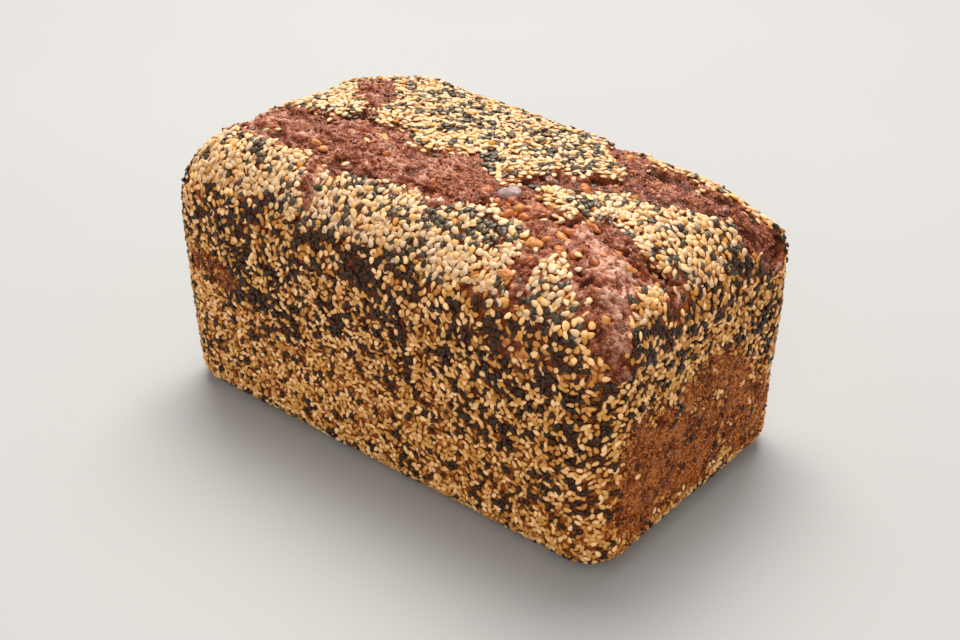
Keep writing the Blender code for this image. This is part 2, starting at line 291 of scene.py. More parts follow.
# Pieces of grain in the tears: grid place, length, width, height, angle in degrees, tone and sink.
# A tone of 0 is violet grey, 0.3 brown, 0.6 orange and 1 golden.
KERNELS = [
    (54, -35.5, 4.8, 3.3, 3.0, 10, 0.72, 0.6),
    (58.5, -34, 4.2, 2.6, 2.4, -30, 0.46, 0.7),
    (63, -36, 3.8, 3.2, 2.6, -20, 0.42, 0.8),
    (41, -29, 3.6, 3.0, 3.0, 40, 0.50, 0.4),
    (42.5, -26, 3.2, 2.8, 2.8, 0, 0.62, 0.4),
    (38, -31, 2.8, 2.0, 1.8, 20, 0.88, 0.4),
    (46.5, -23, 5.0, 3.2, 3.0, -35, 0.52, 0.4),
    (49.5, -21.5, 3.4, 2.6, 2.4, 10, 0.58, 0.5),
    (27.5, -23, 4.2, 3.4, 3.0, 60, 0.46, 0.5),
    (33, -26, 3.8, 2.8, 2.4, 20, 0.36, 0.6),
    (37, -23, 3.2, 2.6, 2.4, -30, 0.44, 0.5),
    (56, -41, 4.6, 2.6, 2.0, 35, 0.44, 0.7),
    (61, -39, 3.0, 1.9, 1.6, 60, 0.62, 0.5),
    (68, -36, 4.4, 2.6, 1.8, 35, 0.34, 0.4),
    (72, -25.5, 2.8, 2.0, 1.6, 30, 0.85, 0.3),
    (77.5, -28, 3.2, 1.9, 1.4, 40, 0.90, 0.3),
    (44.5, -24.5, 2.4, 2.0, 1.8, 0, 0.90, 0.3),
    (41, -17, 2.4, 1.9, 1.8, 20, 0.96, 0.3),
    (25, -21, 5.4, 4.2, 3.4, 15, 0.47, 0.6),
    (33, -20.5, 6.0, 5.0, 4.6, 25, -0.20, 0.0),
    (46, -28, 3.6, 3.0, 2.6, 0, 0.38, 0.4),
    (60, -30, 7.0, 2.6, 2.6, -28, 0.42, 0.5),
    (64, -24, 5.4, 2.6, 2.2, 12, 0.66, 0.4),
    (61, -32, 4.4, 2.2, 1.8, -40, 0.86, 0.5),
    (34, -4, 4.6, 3.6, 2.6, 10, 0.0, 0.6),
    (45, -4, 4.8, 4.2, 3.2, 30, 0.70, 0.6),
    (42, 30, 4.2, 3.2, 3.0, 0, 0.72, 0.3),
    (73, -32, 3.0, 2.0, 1.8, 30, 0.72, 0.6),
    (74, -37, 3.4, 2.8, 2.4, -20, 0.33, 0.6),
    (-41, -31, 3.8, 2.3, 1.8, 20, 0.84, 0.5),
    (-37, -32, 3.6, 2.2, 1.8, 25, 0.78, 0.5),
    (-35, -36, 4.6, 3.8, 2.8, 0, 0.36, 0.6),
    (-23, -17, 3.6, 2.8, 2.4, -20, 0.55, 0.6),
    (-15, -23, 3.4, 2.6, 2.4, 40, 0.48, 0.6),
    (9, -27, 3.6, 2.3, 2.0, 60, 0.75, 0.5),
    (7, -34, 3.8, 2.1, 1.8, 10, 0.76, 0.4),
    (63, 25, 3.6, 2.8, 2.4, 15, 0.50, 0.6),
    (53, -48, 5.0, 2.8, 2.2, 5, 0.86, 0.2),
    (66, -66, 2.6, 2.0, 1.6, 20, 0.60, 0.4),
    (74, -67, 3.8, 3.0, 2.2, 0, 0.72, 0.4),
    (88, -50, 2.8, 2.1, 1.6, -40, 0.98, 0.3),
    (70, 22, 4.2, 3.0, 2.4, 35, 0.36, 0.7),
    (57, 14, 4.0, 3.0, 2.2, -10, 0.50, 0.8),
    (-58, 24, 4.6, 3.2, 2.4, 60, 0.55, 0.7),
    (-86, -34, 4.2, 3.0, 2.2, 15, 0.50, 0.7),
]


def length_property(name, description, millimetres):
    """A length that the user can set, with its default in millimetres."""
    return FloatProperty(name=name, description=description, default=millimetres * MM, unit="LENGTH")


def color_property(name, description, color):
    """A colour that the user can set."""
    return FloatVectorProperty(name=name, description=description, default=color, subtype="COLOR")


def angle_property(name, description, degrees):
    """An angle that the user can set, with its default in degrees."""
    return FloatProperty(name=name, description=description, default=math.radians(degrees), subtype="ANGLE")


def ratio_property(name, description, ratio):
    """A plain number that the user can set."""
    return FloatProperty(name=name, description=description, default=ratio)


class LoafShape(bpy.types.PropertyGroup):
    """Sizes of the tin and of the dome over it."""

    length: length_property("Length", "Length of the tin", 177)
    width: length_property("Width", "Width of the tin at its bottom", 100)
    rim: length_property("Rim height", "Height of the tin's rim", 63.5)
    corner: length_property("Corner radius", "Radius of the upright corners", 14)
    rounding: length_property("Bottom radius", "Rounding of the bottom edge", 8.7)
    side_inset: length_property("Side inset", "Inset of the bottom edge on the long walls", 6.5)
    side_draft: ratio_property("Side draft", "Lean of the long walls", 0.0457)
    end_draft: ratio_property("End draft", "Lean of the end walls", -0.0091)
    dome: length_property("Dome height", "Height of the dome over the rim", 31.5)
    reach: length_property("Dome reach", "How far in the dome levels out", 48.3)
    fullness: ratio_property("Dome fullness", "How soon the dome levels out", 3.4)
    roundness: ratio_property("Dome roundness", "How upright the dome leaves the rim", 1.97)
    opening: ratio_property("Corner opening", "How fast the corners widen up the dome", 0.6)
    slope_along: ratio_property("Slope along", "Fall of the dome along the loaf", -0.0314)
    slope_across: ratio_property("Slope across", "Fall of the dome across the loaf", -0.0246)
    wall_swell: length_property("Wall swell", "Unevenness of the walls", 0.5)
    top_swell: length_property("Top swell", "Unevenness of the dome", 0.9)


class CrustSettings(bpy.types.PropertyGroup):
    """Sizes of the lumps in the torn crust, and colours of both crusts."""

    seat: length_property("Seed seat", "Depth of the crust under the seeds of the dome", 0.65)
    wall_seat: length_property("Wall seat", "Depth of the crust under the wall's seeds", 0.8)
    lump: length_property("Lump size", "Size of the larger crests in the tears", 3.6)
    lump_height: length_property("Lump height", "Height of the larger crests", 0.62)
    shelf: length_property("Shelf size", "Size of the shelves of torn skin", 5.0)
    shelf_height: length_property("Shelf height", "Height of a step between shelves", 0.56)
    crumb: length_property("Crumb size", "Size of the smaller crests in the tears", 1.5)
    crumb_height: length_property("Crumb height", "Height of the smaller crests", 0.31)
    # The crust colours are laid on by the crest value; on the bare crust the dark one is partly painted
    # shade in the pores.
    crust_dark: color_property("Dark crust", "Deeply baked crust", (0.056, 0.010, 0.0015))
    crust_brown: color_property("Brown crust", "Baked crust", (0.28, 0.054, 0.0035))
    crust_light: color_property("Light crust", "High spots of the crust", (0.56, 0.185, 0.040))
    # The torn colours are laid on by the crest value: the pits and hollows colours are partly painted
    # shade, and the crests colour is partly painted highlight; the orange is the crust's own.
    torn_dark: color_property("Torn pits", "Pits of the torn crust", (0.050, 0.0045, 0.0012))
    torn_deep: color_property("Torn hollows", "Hollows of the torn crust", (0.165, 0.025, 0.0080))
    torn_red: color_property("Torn crust", "Middle of the torn crust", (0.295, 0.096, 0.052))
    torn_orange: color_property("Torn orange", "Oily patches of the torn crust", (0.30, 0.065, 0.014))
    torn_pale: color_property("Torn crests", "Crests of the torn crust", (0.62, 0.340, 0.250))


class SeedSettings(bpy.types.PropertyGroup):
    """Size, spacing, share and colours of the sesame."""

    length: length_property("Seed length", "Length of a sesame seed", 2.78)
    width: length_property("Seed width", "Width of a sesame seed", 1.70)
    thickness: length_property("Seed thickness", "Thickness of a sesame seed", 0.72)
    wall_gap: length_property("Wall spacing", "Least distance between the wall's seeds", 1.22)
    top_gap: length_property("Top spacing", "Least distance between the dome's lower seeds", 1.44)
    upper_gap: length_property("Upper spacing", "Least distance between the dome's upper seeds", 2.05)
    bottom_gap: length_property("Bottom spacing", "Least distance between the bottom's seeds", 2.6)
    black_share: FloatProperty(
        name="Black share", description="Share of black seeds", default=0.31, subtype="FACTOR"
    )
    ivory: color_property("Ivory", "Palest seeds", (0.65, 0.455, 0.298))
    golden: color_property("Golden", "Golden seeds", (0.76, 0.425, 0.125))
    toasted: color_property("Toasted", "Toasted seeds", (0.56, 0.215, 0.035))
    brown: color_property("Brown", "Darkest toasted seeds", (0.25, 0.085, 0.020))
    black: color_property("Black", "Black seeds", (0.045, 0.034, 0.022))
    glazed: color_property("Glazed black", "Black seeds baked into the walls", (0.018, 0.0066, 0.0024))
    warm_gloss: color_property("Warm gloss", "Tint of the gloss on baked seeds", (1.0, 0.72, 0.45))


class GrainSettings(bpy.types.PropertyGroup):
    """Numbers and colours of the grain, the flakes and the crumbs."""

    flakes: IntProperty(name="Flakes", description="Number of bran flakes in the tears", default=850)
    grains: IntProperty(name="Grains", description="Most grains on the bare crust", default=4000)
    crumbs: IntProperty(name="Crumbs", description="Number of loose crumbs in the tears", default=900)
    golden: color_property("Golden grain", "Palest grain", (0.54, 0.235, 0.060))
    orange: color_property("Orange grain", "Toasted grain", (0.40, 0.090, 0.020))
    brown: color_property("Brown grain", "Dark grain", (0.21, 0.055, 0.020))
    grey: color_property("Grey grain", "Floury grain", (0.33, 0.225, 0.21))


class StageSettings(bpy.types.PropertyGroup):
    """The floor, the lights and the camera."""

    floor: color_property("Floor", "Colour of the floor", (0.36, 0.355, 0.345))
    size: FloatProperty(name="Floor size", description="Side of the floor", default=6, unit="LENGTH")
    sky: ratio_property("Sky", "Strength of the light from all round", 0.53)
    key: FloatProperty(name="Key", description="Power of the light overhead", default=43, unit="POWER")
    fill: FloatProperty(name="Fill", description="Power of the light in front", default=10.5, unit="POWER")
    focal: ratio_property("Focal length", "Focal length of the camera", 51.9)
    azimuth: angle_property("Azimuth", "Turn of the camera round the loaf", 39.66)
    elevation: angle_property("Elevation", "Height angle of the camera", 29.57)
    roll: angle_property("Roll", "Roll of the camera", 0.44)
    distance: length_property("Distance", "Distance from the camera to the point it looks at", 421.3)


def eased(share):
    """A smooth step from 0 to 1: three times the square less twice the cube, of the clipped share."""
    share = np.clip(share, 0, 1)
    return share * share * (3 - 2 * share)


def unit(vectors):
    """Vectors divided by their lengths."""
    return vectors / np.maximum(np.linalg.norm(vectors, axis=-1, keepdims=True), 1e-12)


def hashed(cells, seed):
    """A random value from 0 to 1 for each cell: its three whole numbers multiplied and mixed bit by bit."""
    x, y, z = (cells[..., axis].astype(np.int64).astype(np.uint32) for axis in range(3))
    bits = x * np.uint32(0x8DA6B343) ^ y * np.uint32(0xD8163841) ^ z * np.uint32(0xCB1AB31F)
    bits = bits ^ np.uint32(seed * 0x9E3779B9 & 0xFFFFFFFF)
    bits = (bits ^ (bits >> np.uint32(15))) * np.uint32(0x2C1B3C6D)
    bits = (bits ^ (bits >> np.uint32(12))) * np.uint32(0x297A2D39)
    bits = bits ^ (bits >> np.uint32(15))
    return bits / 2.0**32


def smooth_noise(points, size, seed):
    """Smooth noise from -1 to 1: random values on a cubic lattice of that size, eased between corners."""
    scaled = points / size
    base = np.floor(scaled)
    share = eased(scaled - base)
    total = np.zeros(points.shape[:-1])
    for corner in range(8):
        step = np.array([corner & 1, corner >> 1 & 1, corner >> 2 & 1])
        weight = np.prod(np.where(step, share, 1 - share), axis=-1)
        total += weight * hashed(base + step, seed)
    return 2 * total - 1


def layered_noise(points, size, seed, layers=3):
    """Layers of smooth noise, each half the size and half the height of the one before."""
    total = sum(smooth_noise(points, size / 2**layer, seed + layer) / 2**layer for layer in range(layers))
    return total / (2 - 2.0 ** (1 - layers))


def cell_noise(points, size, seed):
    """Distance to the nearest of points scattered one to a cubic cell, in cell sizes."""
    scaled = points / size
    base = np.floor(scaled)
    nearest = np.full(points.shape[:-1], np.inf)
    for step in NEIGHBOURS:
        where = base + step
        jitter = np.stack([hashed(where, seed + axis) for axis in range(3)], -1)
        nearest = np.minimum(nearest, np.linalg.norm(where + jitter - scaled, axis=-1))
    return nearest


def swirl(points, size, seed):
    """Three smooth noises of one size as the parts of a vector."""
    return np.stack([smooth_noise(points, size, seed + axis) for axis in range(3)], -1)


def pushed(points, size, reach, seed):
    """Points pushed about by smooth noise of that size, as far as the reach each way."""
    return points + reach * swirl(points, size, seed)


def crests(points, size, seed):
    """Sharp crests with soft hollows between: one less the size of smooth noise, squared, in two layers."""
    coarse = (1 - np.abs(smooth_noise(points, size, seed))) ** 2
    fine = (1 - np.abs(smooth_noise(points, size / 1.9, seed + 1))) ** 2
    return (coarse + fine / 1.7) / (1 + 1 / 1.7)


def distance_into(stroke, across, up):
    """How far places lie inside a stroke, in millimetres: its half width less the distance to its line."""
    deepest = np.full(across.shape, -np.inf)
    points = np.array(stroke, float)
    for start, end in zip(points, np.concatenate([points[1:], points[-1:]])):
        run = end[:2] - start[:2]
        offset = np.stack([across - start[0], up - start[1]], -1)
        share = np.clip(offset @ run / max(run @ run, 1e-9), 0, 1)
        distance = np.linalg.norm(offset - share[..., None] * run, axis=-1)
        half_width = start[2] + share * (end[2] - start[2])
        deepest = np.maximum(deepest, half_width - distance)
    return deepest


def near_stroke(stroke, across, up, softness, wander=0):
    """Share of being in a stroke: the distance into it, which may wander, eased over the softness."""
    return eased((distance_into(stroke, across, up) + wander) / softness + 0.5)


def within_strokes(strokes, across, up):
    """Share of being inside any of the strokes, with soft edges."""
    return np.max([near_stroke(stroke, across, up, 4) for stroke in strokes], axis=0)


def outline_distance(outline, across, up):
    """How far places lie inside a closed outline, in millimetres, and below 0 outside it.

    The distance is to the nearest side. A place is inside when a line from it to the right crosses
    an odd number of sides.
    """
    points = np.array(outline, float)
    nearest = np.full(across.shape, np.inf)
    inside = np.zeros(across.shape, bool)
    for start, end in zip(points, np.roll(points, -1, axis=0)):
        run = end - start
        offset = np.stack([across - start[0], up - start[1]], -1)
        share = np.clip(offset @ run / (run @ run), 0, 1)
        nearest = np.minimum(nearest, np.linalg.norm(offset - share[..., None] * run, axis=-1))
        if run[1]:
            crosses = (start[1] > up) != (end[1] > up)
            inside ^= crosses & (across < start[0] + (up - start[1]) * run[0] / run[1])
    return np.where(inside, nearest, -nearest)


def round_side(from_corner, grid_half, half_side, radius):
    """Place along a side of a rounded rectangle, and inset from it: first round the arc, then straight."""
    quarter = math.pi / 4
    outline = half_side - radius * (1 - quarter)
    walked = from_corner * outline / np.maximum(grid_half, 1e-9)
    turned = np.minimum(walked / np.maximum(radius, 1e-9), quarter)
    straight = np.maximum(walked - quarter * radius, 0)
    along = half_side - radius + radius * np.sin(quarter - turned) - straight
    return along, radius * (1 - np.cos(quarter - turned))


def on_rounded_rectangle(grid, grid_half, half_sides, radius):
    """Points on the ring of a plain rectangle carried onto a rounded one, side by side."""
    beyond_x = grid_half[0] - np.abs(grid[0])
    beyond_y = grid_half[1] - np.abs(grid[1])
    end_y, end_inset = round_side(beyond_y, grid_half[1], half_sides[1], radius)
    side_x, side_inset = round_side(beyond_x, grid_half[0], half_sides[0], radius)
    on_end = beyond_x <= beyond_y
    x = np.where(on_end, half_sides[0] - end_inset, side_x) * np.sign(grid[0])
    y = np.where(on_end, end_y, half_sides[1] - side_inset) * np.sign(grid[1])
    return x, y


class Loaf:
    """The loaf's outer face, from its settings: the dome, the walls and the bottom as smooth surfaces."""

    def __init__(self, shape):
        self.shape = shape
        rise = shape.rim - shape.rounding
        self.half_length = shape.length / 2 + shape.end_draft * rise
        self.half_width = shape.width / 2 + shape.side_draft * rise
        self.inset = self.half_width * np.linspace(0, 1, PROFILE_STEPS) ** 2
        closing = np.clip(1 - self.inset / shape.reach, 0, 1) ** shape.fullness
        self.height = shape.rim + shape.dome * (1 - closing) ** (1 / shape.roundness)
        steps = np.hypot(np.diff(self.inset), np.diff(self.height))
        self.walked = np.concatenate([[0], np.cumsum(steps)])
        self.grid_width = self.walked[-1]
        self.grid_length = self.grid_width + self.half_length - self.half_width
        self.shift = np.zeros(3)
        level = np.linspace(0, shape.rim, 60)[:, None]
        around = np.linspace(0, 1, 800, endpoint=False)[None]
        walls = self.wall(*np.broadcast_arrays(around, level)).reshape(-1, 3)
        middle = (walls.min(axis=0) + walls.max(axis=0)) / 2
        self.shift[0] = (LOAF_LOW.x + LOAF_HIGH.x) / 2 - middle[0]
        self.shift[1] = (LOAF_LOW.y + LOAF_HIGH.y) / 2 - middle[1]

    def from_edge(self, grid_x, grid_y):
        """Distance of grid places from the nearest edge of the rolled-out dome."""
        return np.minimum(self.grid_length - np.abs(grid_x), self.grid_width - np.abs(grid_y))

    def anywhere(self, random, count):
        """Grid places spread evenly and at random over the whole grid."""
        grid_x = random.uniform(-1, 1, count) * self.grid_length
        return grid_x, random.uniform(-1, 1, count) * self.grid_width

    def ring(self, share):
        """Grid place at a share of the way round the dome's edge, from the front left corner rightwards."""
        length, width = self.grid_length, self.grid_width
        walked = (share % 1) * 4 * (length + width)
        corners = np.cumsum([0, 2 * length, 2 * width, 2 * length, 2 * width])
        x = np.interp(walked, corners, [-length, length, length, -length, -length])
        y = np.interp(walked, corners, [-width, -width, width, width, -width])
        return x, y

    def swelled(self, points, extra=0):
        """Points moved out of the core by slow waves that fade at the bottom, and by an extra height."""
        shape = self.shape
        x, y, z = (points[..., axis] / MM for axis in range(3))
        first = np.sin(x / 11 + 0.6) * np.sin(y / 9 - 0.4) * np.cos(z / 13)
        second = np.sin(x / 6.1 - y / 8.3 + 1.9) * np.sin(z / 7.7 + y / 12 + 0.8)
        height = points[..., 2]
        on_top = eased((height - shape.rim) / shape.dome)
        swell = shape.wall_swell + (shape.top_swell - shape.wall_swell) * on_top
        relief = swell * (0.6 * first + 0.4 * second) * np.clip(height / shape.rounding, 0, 1) + extra
        depth = 35 * MM
        core = points.copy()
        core[..., 0] = np.clip(points[..., 0], depth - self.half_length, self.half_length - depth)
        core[..., 1] = np.clip(points[..., 1], depth - self.half_width, self.half_width - depth)
        core[..., 2] = np.clip(height, depth, shape.rim + shape.dome - depth)
        return points + unit(points - core) * relief[..., None] + self.shift

    def dome(self, grid_x, grid_y):
        """The dome without its tears: the grid's rings climb the profile, and the plates add to it."""
        shape = self.shape
        from_edge = self.from_edge(grid_x, grid_y)
        inset = np.interp(from_edge, self.walked, self.inset)
        z = np.interp(from_edge, self.walked, self.height)
        radius = np.minimum(shape.corner + shape.opening * inset, np.maximum(self.half_width - inset, 1e-6))
        x, y = on_rounded_rectangle(
            (grid_x, grid_y),
            (self.grid_length - from_edge, self.grid_width - from_edge),
            (self.half_length - inset, self.half_width - inset),
            radius,
        )
        lift = (z - shape.rim) / shape.dome
        points = np.stack([x, y, z + lift * (shape.slope_along * x + shape.slope_across * y)], -1)
        plates = np.zeros(grid_x.shape)
        for high, stroke in PLATES.values():
            plates += high * MM * near_stroke(stroke, grid_x / MM, grid_y / MM, PLATE_SHOULDER)
        return self.swelled(points, plates)

    def wall(self, share, height):
        """The walls: a rounded rectangle at a height, wider at the rim and rounded in at the bottom."""
        shape = self.shape
        grid_x, grid_y = self.ring(share)
        level = np.clip(height, 0, shape.rim)
        rise = np.maximum(level - shape.rounding, 0)
        below = np.clip(1 - level / shape.rounding, 0, 1)
        turn = 1 - np.sqrt(1 - below**2)
        half_sides = (
            shape.length / 2 + shape.end_draft * rise - shape.rounding * turn,
            shape.width / 2 + shape.side_draft * rise - shape.side_inset * turn,
        )
        radius = np.maximum(shape.corner - shape.rounding * turn, 1 * MM)
        grid_half = (self.grid_length, self.grid_width)
        x, y = on_rounded_rectangle((grid_x, grid_y), grid_half, half_sides, radius)
        return self.swelled(np.stack([x, y, height + 0 * x], -1))

    def bottom(self, grid_x, grid_y):
        """The bottom: rings of the grid shrink evenly from the outline at height 0 to the middle line."""
        shape = self.shape
        half_length = shape.length / 2 - shape.rounding
        half_width = shape.width / 2 - shape.side_inset
        from_edge = self.from_edge(grid_x, grid_y)
        inset = from_edge * half_width / self.grid_width
        most = np.maximum(half_width - inset, 1e-6)
        radius = np.clip(shape.corner - shape.rounding - 0.2 * inset, 1e-6, most)
        x, y = on_rounded_rectangle(
            (grid_x, grid_y),
            (self.grid_length - from_edge, self.grid_width - from_edge),
            (half_length - inset, half_width - inset),
            radius,
        )
        return np.stack([x, y, 0 * x], -1) + self.shift

    def facing(self, surface, first, second, first_step, second_step):
        """Outward normal and one tangent of a surface: the cross product of its differences both ways."""
        along = surface(first + first_step, second) - surface(first - first_step, second)
        up = surface(first, second + second_step) - surface(first, second - second_step)
        return unit(np.cross(along, up)), unit(along)

    def on_dome(self, grid_x, grid_y):
        """Points of the dome, with the outward normal and a tangent at each."""
        return (self.dome(grid_x, grid_y), *self.facing(self.dome, grid_x, grid_y, GRID_STEP, GRID_STEP))

    def on_wall(self, share, height):
        """Points of the walls, with the outward normal and a tangent at each."""
        return (self.wall(share, height), *self.facing(self.wall, share, height, ROUND_STEP, RISE_STEP))


def torn_field(grid_x, grid_y, loaf):
    """Share of tear, depth of its floor and distance into it, in millimetres, on the rolled-out dome.

    Each tear is an outline whose edge wanders with noise of two sizes. Its floor eases down over a
    narrow shoulder and rises again by half towards its middle. Crevices are cut below it.
    """
    x, y = grid_x / MM, grid_y / MM
    flat = np.stack([x, y, np.zeros(x.shape)], -1)
    wander = 0.9 * smooth_noise(flat, 4.5, 11) + 0.8 * smooth_noise(flat, 1.9, 12)
    share = np.zeros(x.shape)
    depth = np.zeros(x.shape)
    deepest = np.full(x.shape, -50.0)
    for deep, outline in TEARS.values():
        inside = outline_distance(outline, x, y) + wander
        part = eased(inside / TEAR_SHOULDER + 0.5)
        floor = deep * part * (1 - 0.5 * eased((inside - 1.5) / 8))
        share = np.maximum(share, part)
        depth = np.maximum(depth, floor)
        deepest = np.maximum(deepest, inside)
    for deep, stroke in CREVICES:
        inside = distance_into(stroke, x, y) + 0.6 * wander
        depth += 1.35 * deep * eased(inside / 1.6 + 0.5) * (0.75 + 0.5 * smooth_noise(flat, 3.1, 13))
    depth *= eased(loaf.from_edge(grid_x, grid_y) / MM / TEAR_FADE)
    return share, depth, deepest


def blotches(points):
    """Soft blotches of darker and lighter bake: smooth noise over pushed points."""
    return smooth_noise(pushed(points, 7 * MM, 3 * MM, 131), 4.5 * MM, 93)


def torn_lumps(points, crust):
    """Relief of the torn crust in metres, and a crest value from 0 to 1 that follows it as painted light.

    Smooth noise drawn out along the loaf is cut into shelves, like layers of torn skin, each
    painted pale as a highlight at its lip and dark as shade at its foot. Sharp crests of two sizes
    lie over them, painted lighter than the hollows. Slow waves lift whole patches, painted lighter
    where they rise, and grit breaks up the crests.
    """
    drawn = points * [0.6, 1, 1]
    warp = swirl(drawn, 3.0 * MM, 21)
    ledges = 3.4 * layered_noise(drawn + 1.1 * MM * warp, crust.shelf, 35, 2)
    up = ledges - np.floor(ledges)
    shelves = np.floor(ledges) + eased((up - 0.30) / 0.34)
    # Painted highlight at the lip of each shelf and painted shade at its foot.
    lip = np.exp(-(((up - 0.74) / 0.13) ** 2)) - np.exp(-(((up - 0.26) / 0.12) ** 2))
    large = 2.8 * crests(drawn + 1.3 * MM * warp, crust.lump, 31) - 1.5
    small = 2.8 * crests(points * [0.75, 1, 1] + 0.6 * MM * warp, crust.crumb, 41) - 1.5
    waves = layered_noise(points, 9 * MM, 51, 2)
    grit = smooth_noise(points, 0.8 * MM, 61)
    relief = crust.lump_height * large + crust.crumb_height * small + crust.shelf_height * shelves
    relief += 0.6 * MM * waves + 0.10 * MM * grit
    # The crest value is painted light: lighter on crests, lips, rises and grit, darker in hollows and at
    # the foot of each shelf.
    crest = 0.50 + 0.20 * large + 0.12 * small + 0.24 * lip + 0.14 * waves + 0.06 * grit
    return relief, crest


def bare_share(points, normals):
    """Share of bare crust on the walls: soft strokes on both ends, and sparser ones on the long walls."""
    x, y, z = (points[..., axis] / MM for axis in range(3))
    wander = 2.2 * smooth_noise(points, 7 * MM, 71) + 1.6 * smooth_noise(points, 2.6 * MM, 72)
    near = near_stroke(BARE_END_NEAR, y, z, 10, 1.3 * wander)
    near = np.maximum(near, 0.82 * near_stroke(SPARSE_END_NEAR, y, z, 10, 1.3 * wander))
    near *= normals[..., 0] > FACES
    far = near_stroke(BARE_END_FAR, y, z, 9, 2.2 * wander) * (normals[..., 0] < -FACES)
    front = near_stroke(SPARSE_FRONT, x, z, 5, wander) * (normals[..., 1] < -FACES)
    back = near_stroke(SPARSE_BACK, x, z, 5, wander) * (normals[..., 1] > FACES)
    return np.maximum(np.maximum(near, 0.92 * far), np.maximum(0.55 * front, 0.6 * back))


def keep_apart(points, spacing, random):
    """Index of a random choice of points of which no two are closer than the spacing.

    Points share a cubic hash of that spacing, which gives every close pair. Each point has a random
    rank. In each round, the points that outrank all their close neighbours stay, and their
    neighbours drop out, until every point is settled.
    """
    count = len(points)
    cells = np.floor(points / spacing).astype(np.int64) + CELLS // 2
    key = (cells[:, 0] * CELLS + cells[:, 1]) * CELLS + cells[:, 2]
    order = np.argsort(key, kind="stable")
    sorted_key = key[order]
    firsts, seconds = [], []
    for step in NEIGHBOURS:
        wanted = key + (step[0] * CELLS + step[1]) * CELLS + step[2]
        low = np.searchsorted(sorted_key, wanted, side="left")
        high = np.searchsorted(sorted_key, wanted, side="right")
        found = high - low
        first = np.repeat(np.arange(count), found)
        start = np.repeat(low - np.concatenate([[0], np.cumsum(found)[:-1]]), found)
        second = order[start + np.arange(len(first))]
        close = first < second
        first, second = first[close], second[close]
        close = np.linalg.norm(points[first] - points[second], axis=1) < spacing
        firsts.append(first[close])
        seconds.append(second[close])
    first, second = np.concatenate(firsts), np.concatenate(seconds)
    rank = random.permutation(count)
    lower = np.where(rank[first] < rank[second], first, second)
    higher = np.where(rank[first] < rank[second], second, first)
    waiting = np.ones(count, bool)
    kept = np.zeros(count, bool)
    while waiting.any():
        live = waiting[lower] & waiting[higher]
        lower, higher = lower[live], higher[live]
        outranked = np.zeros(count, bool)
        outranked[higher] = True
        winners = waiting & ~outranked
        kept |= winners
        waiting &= ~winners
        beaten = winners[lower]
        waiting[higher[beaten]] = False
    return np.flatnonzero(kept)


def seed_pattern(around, rings, taper=0.40, flatness=0.6):
    """One seed, from -1 to 1 each way, and its faces: an egg's rings between two poles, pointed at one end.

    A ring at angle t lies at cos t along the seed, and its radius is the sine of t, less the taper's
    share of its cosine towards the point. The seed's height across is the sine round the ring, raised
    to the flatness, so its faces are flattened below one.
    """
    turn = np.linspace(0, 2 * math.pi, around, endpoint=False)
    angle = np.linspace(0, math.pi, rings + 2)[1:-1] + 0.09
    radius = np.sin(angle) * (1 - taper * np.cos(angle))
    along = np.repeat(np.cos(angle), around)
    across = (radius[:, None] * np.cos(turn)).ravel()
    up = (radius[:, None] * np.sign(np.sin(turn)) * np.abs(np.sin(turn)) ** flatness).ravel()
    points = np.stack([along, across, up], -1)
    points = np.concatenate([points, [[1, 0, 0], [-1, 0, 0]]])
    here = np.arange(around)
    after = (here + 1) % around
    last = (rings - 1) * around
    bands = [
        np.stack([start + here, start + around + here, start + around + after, start + after], -1)
        for start in range(0, last, around)
    ]
    front = np.stack([np.full(around, rings * around), here, after], -1)
    back = np.stack([np.full(around, rings * around + 1), last + after, last + here], -1)
    return points, [np.concatenate(bands), np.concatenate([front, back])]


def seed_axes(normal, tangent, turn, roll, pitch):
    """Directions of length, width and thickness: turned in the surface, rolled, then pitched."""
    side = np.cross(normal, tangent)
    length = tangent * np.cos(turn)[:, None] + side * np.sin(turn)[:, None]
    width = np.cross(normal, length)
    thickness = normal * np.cos(roll)[:, None] - width * np.sin(roll)[:, None]
    pitched = length * np.cos(pitch)[:, None] + normal * np.sin(pitch)[:, None]
    thickness = thickness - pitched * np.sum(thickness * pitched, axis=1, keepdims=True)
    thickness = unit(thickness)
    return pitched, np.cross(thickness, pitched), thickness


def placed_copies(pattern, centres, axes, sizes):
    """Copies of a pattern: every point is its centre plus the three directions times the half sizes."""
    shape, faces = pattern
    scaled = shape[None] * sizes[:, None] / 2
    points = centres[:, None] + sum(scaled[..., axis, None] * axes[axis][:, None] for axis in range(3))
    starts = (np.arange(len(centres)) * len(shape))[:, None, None]
    return points.reshape(-1, 3), [(face[None] + starts).reshape(-1, face.shape[1]) for face in faces]


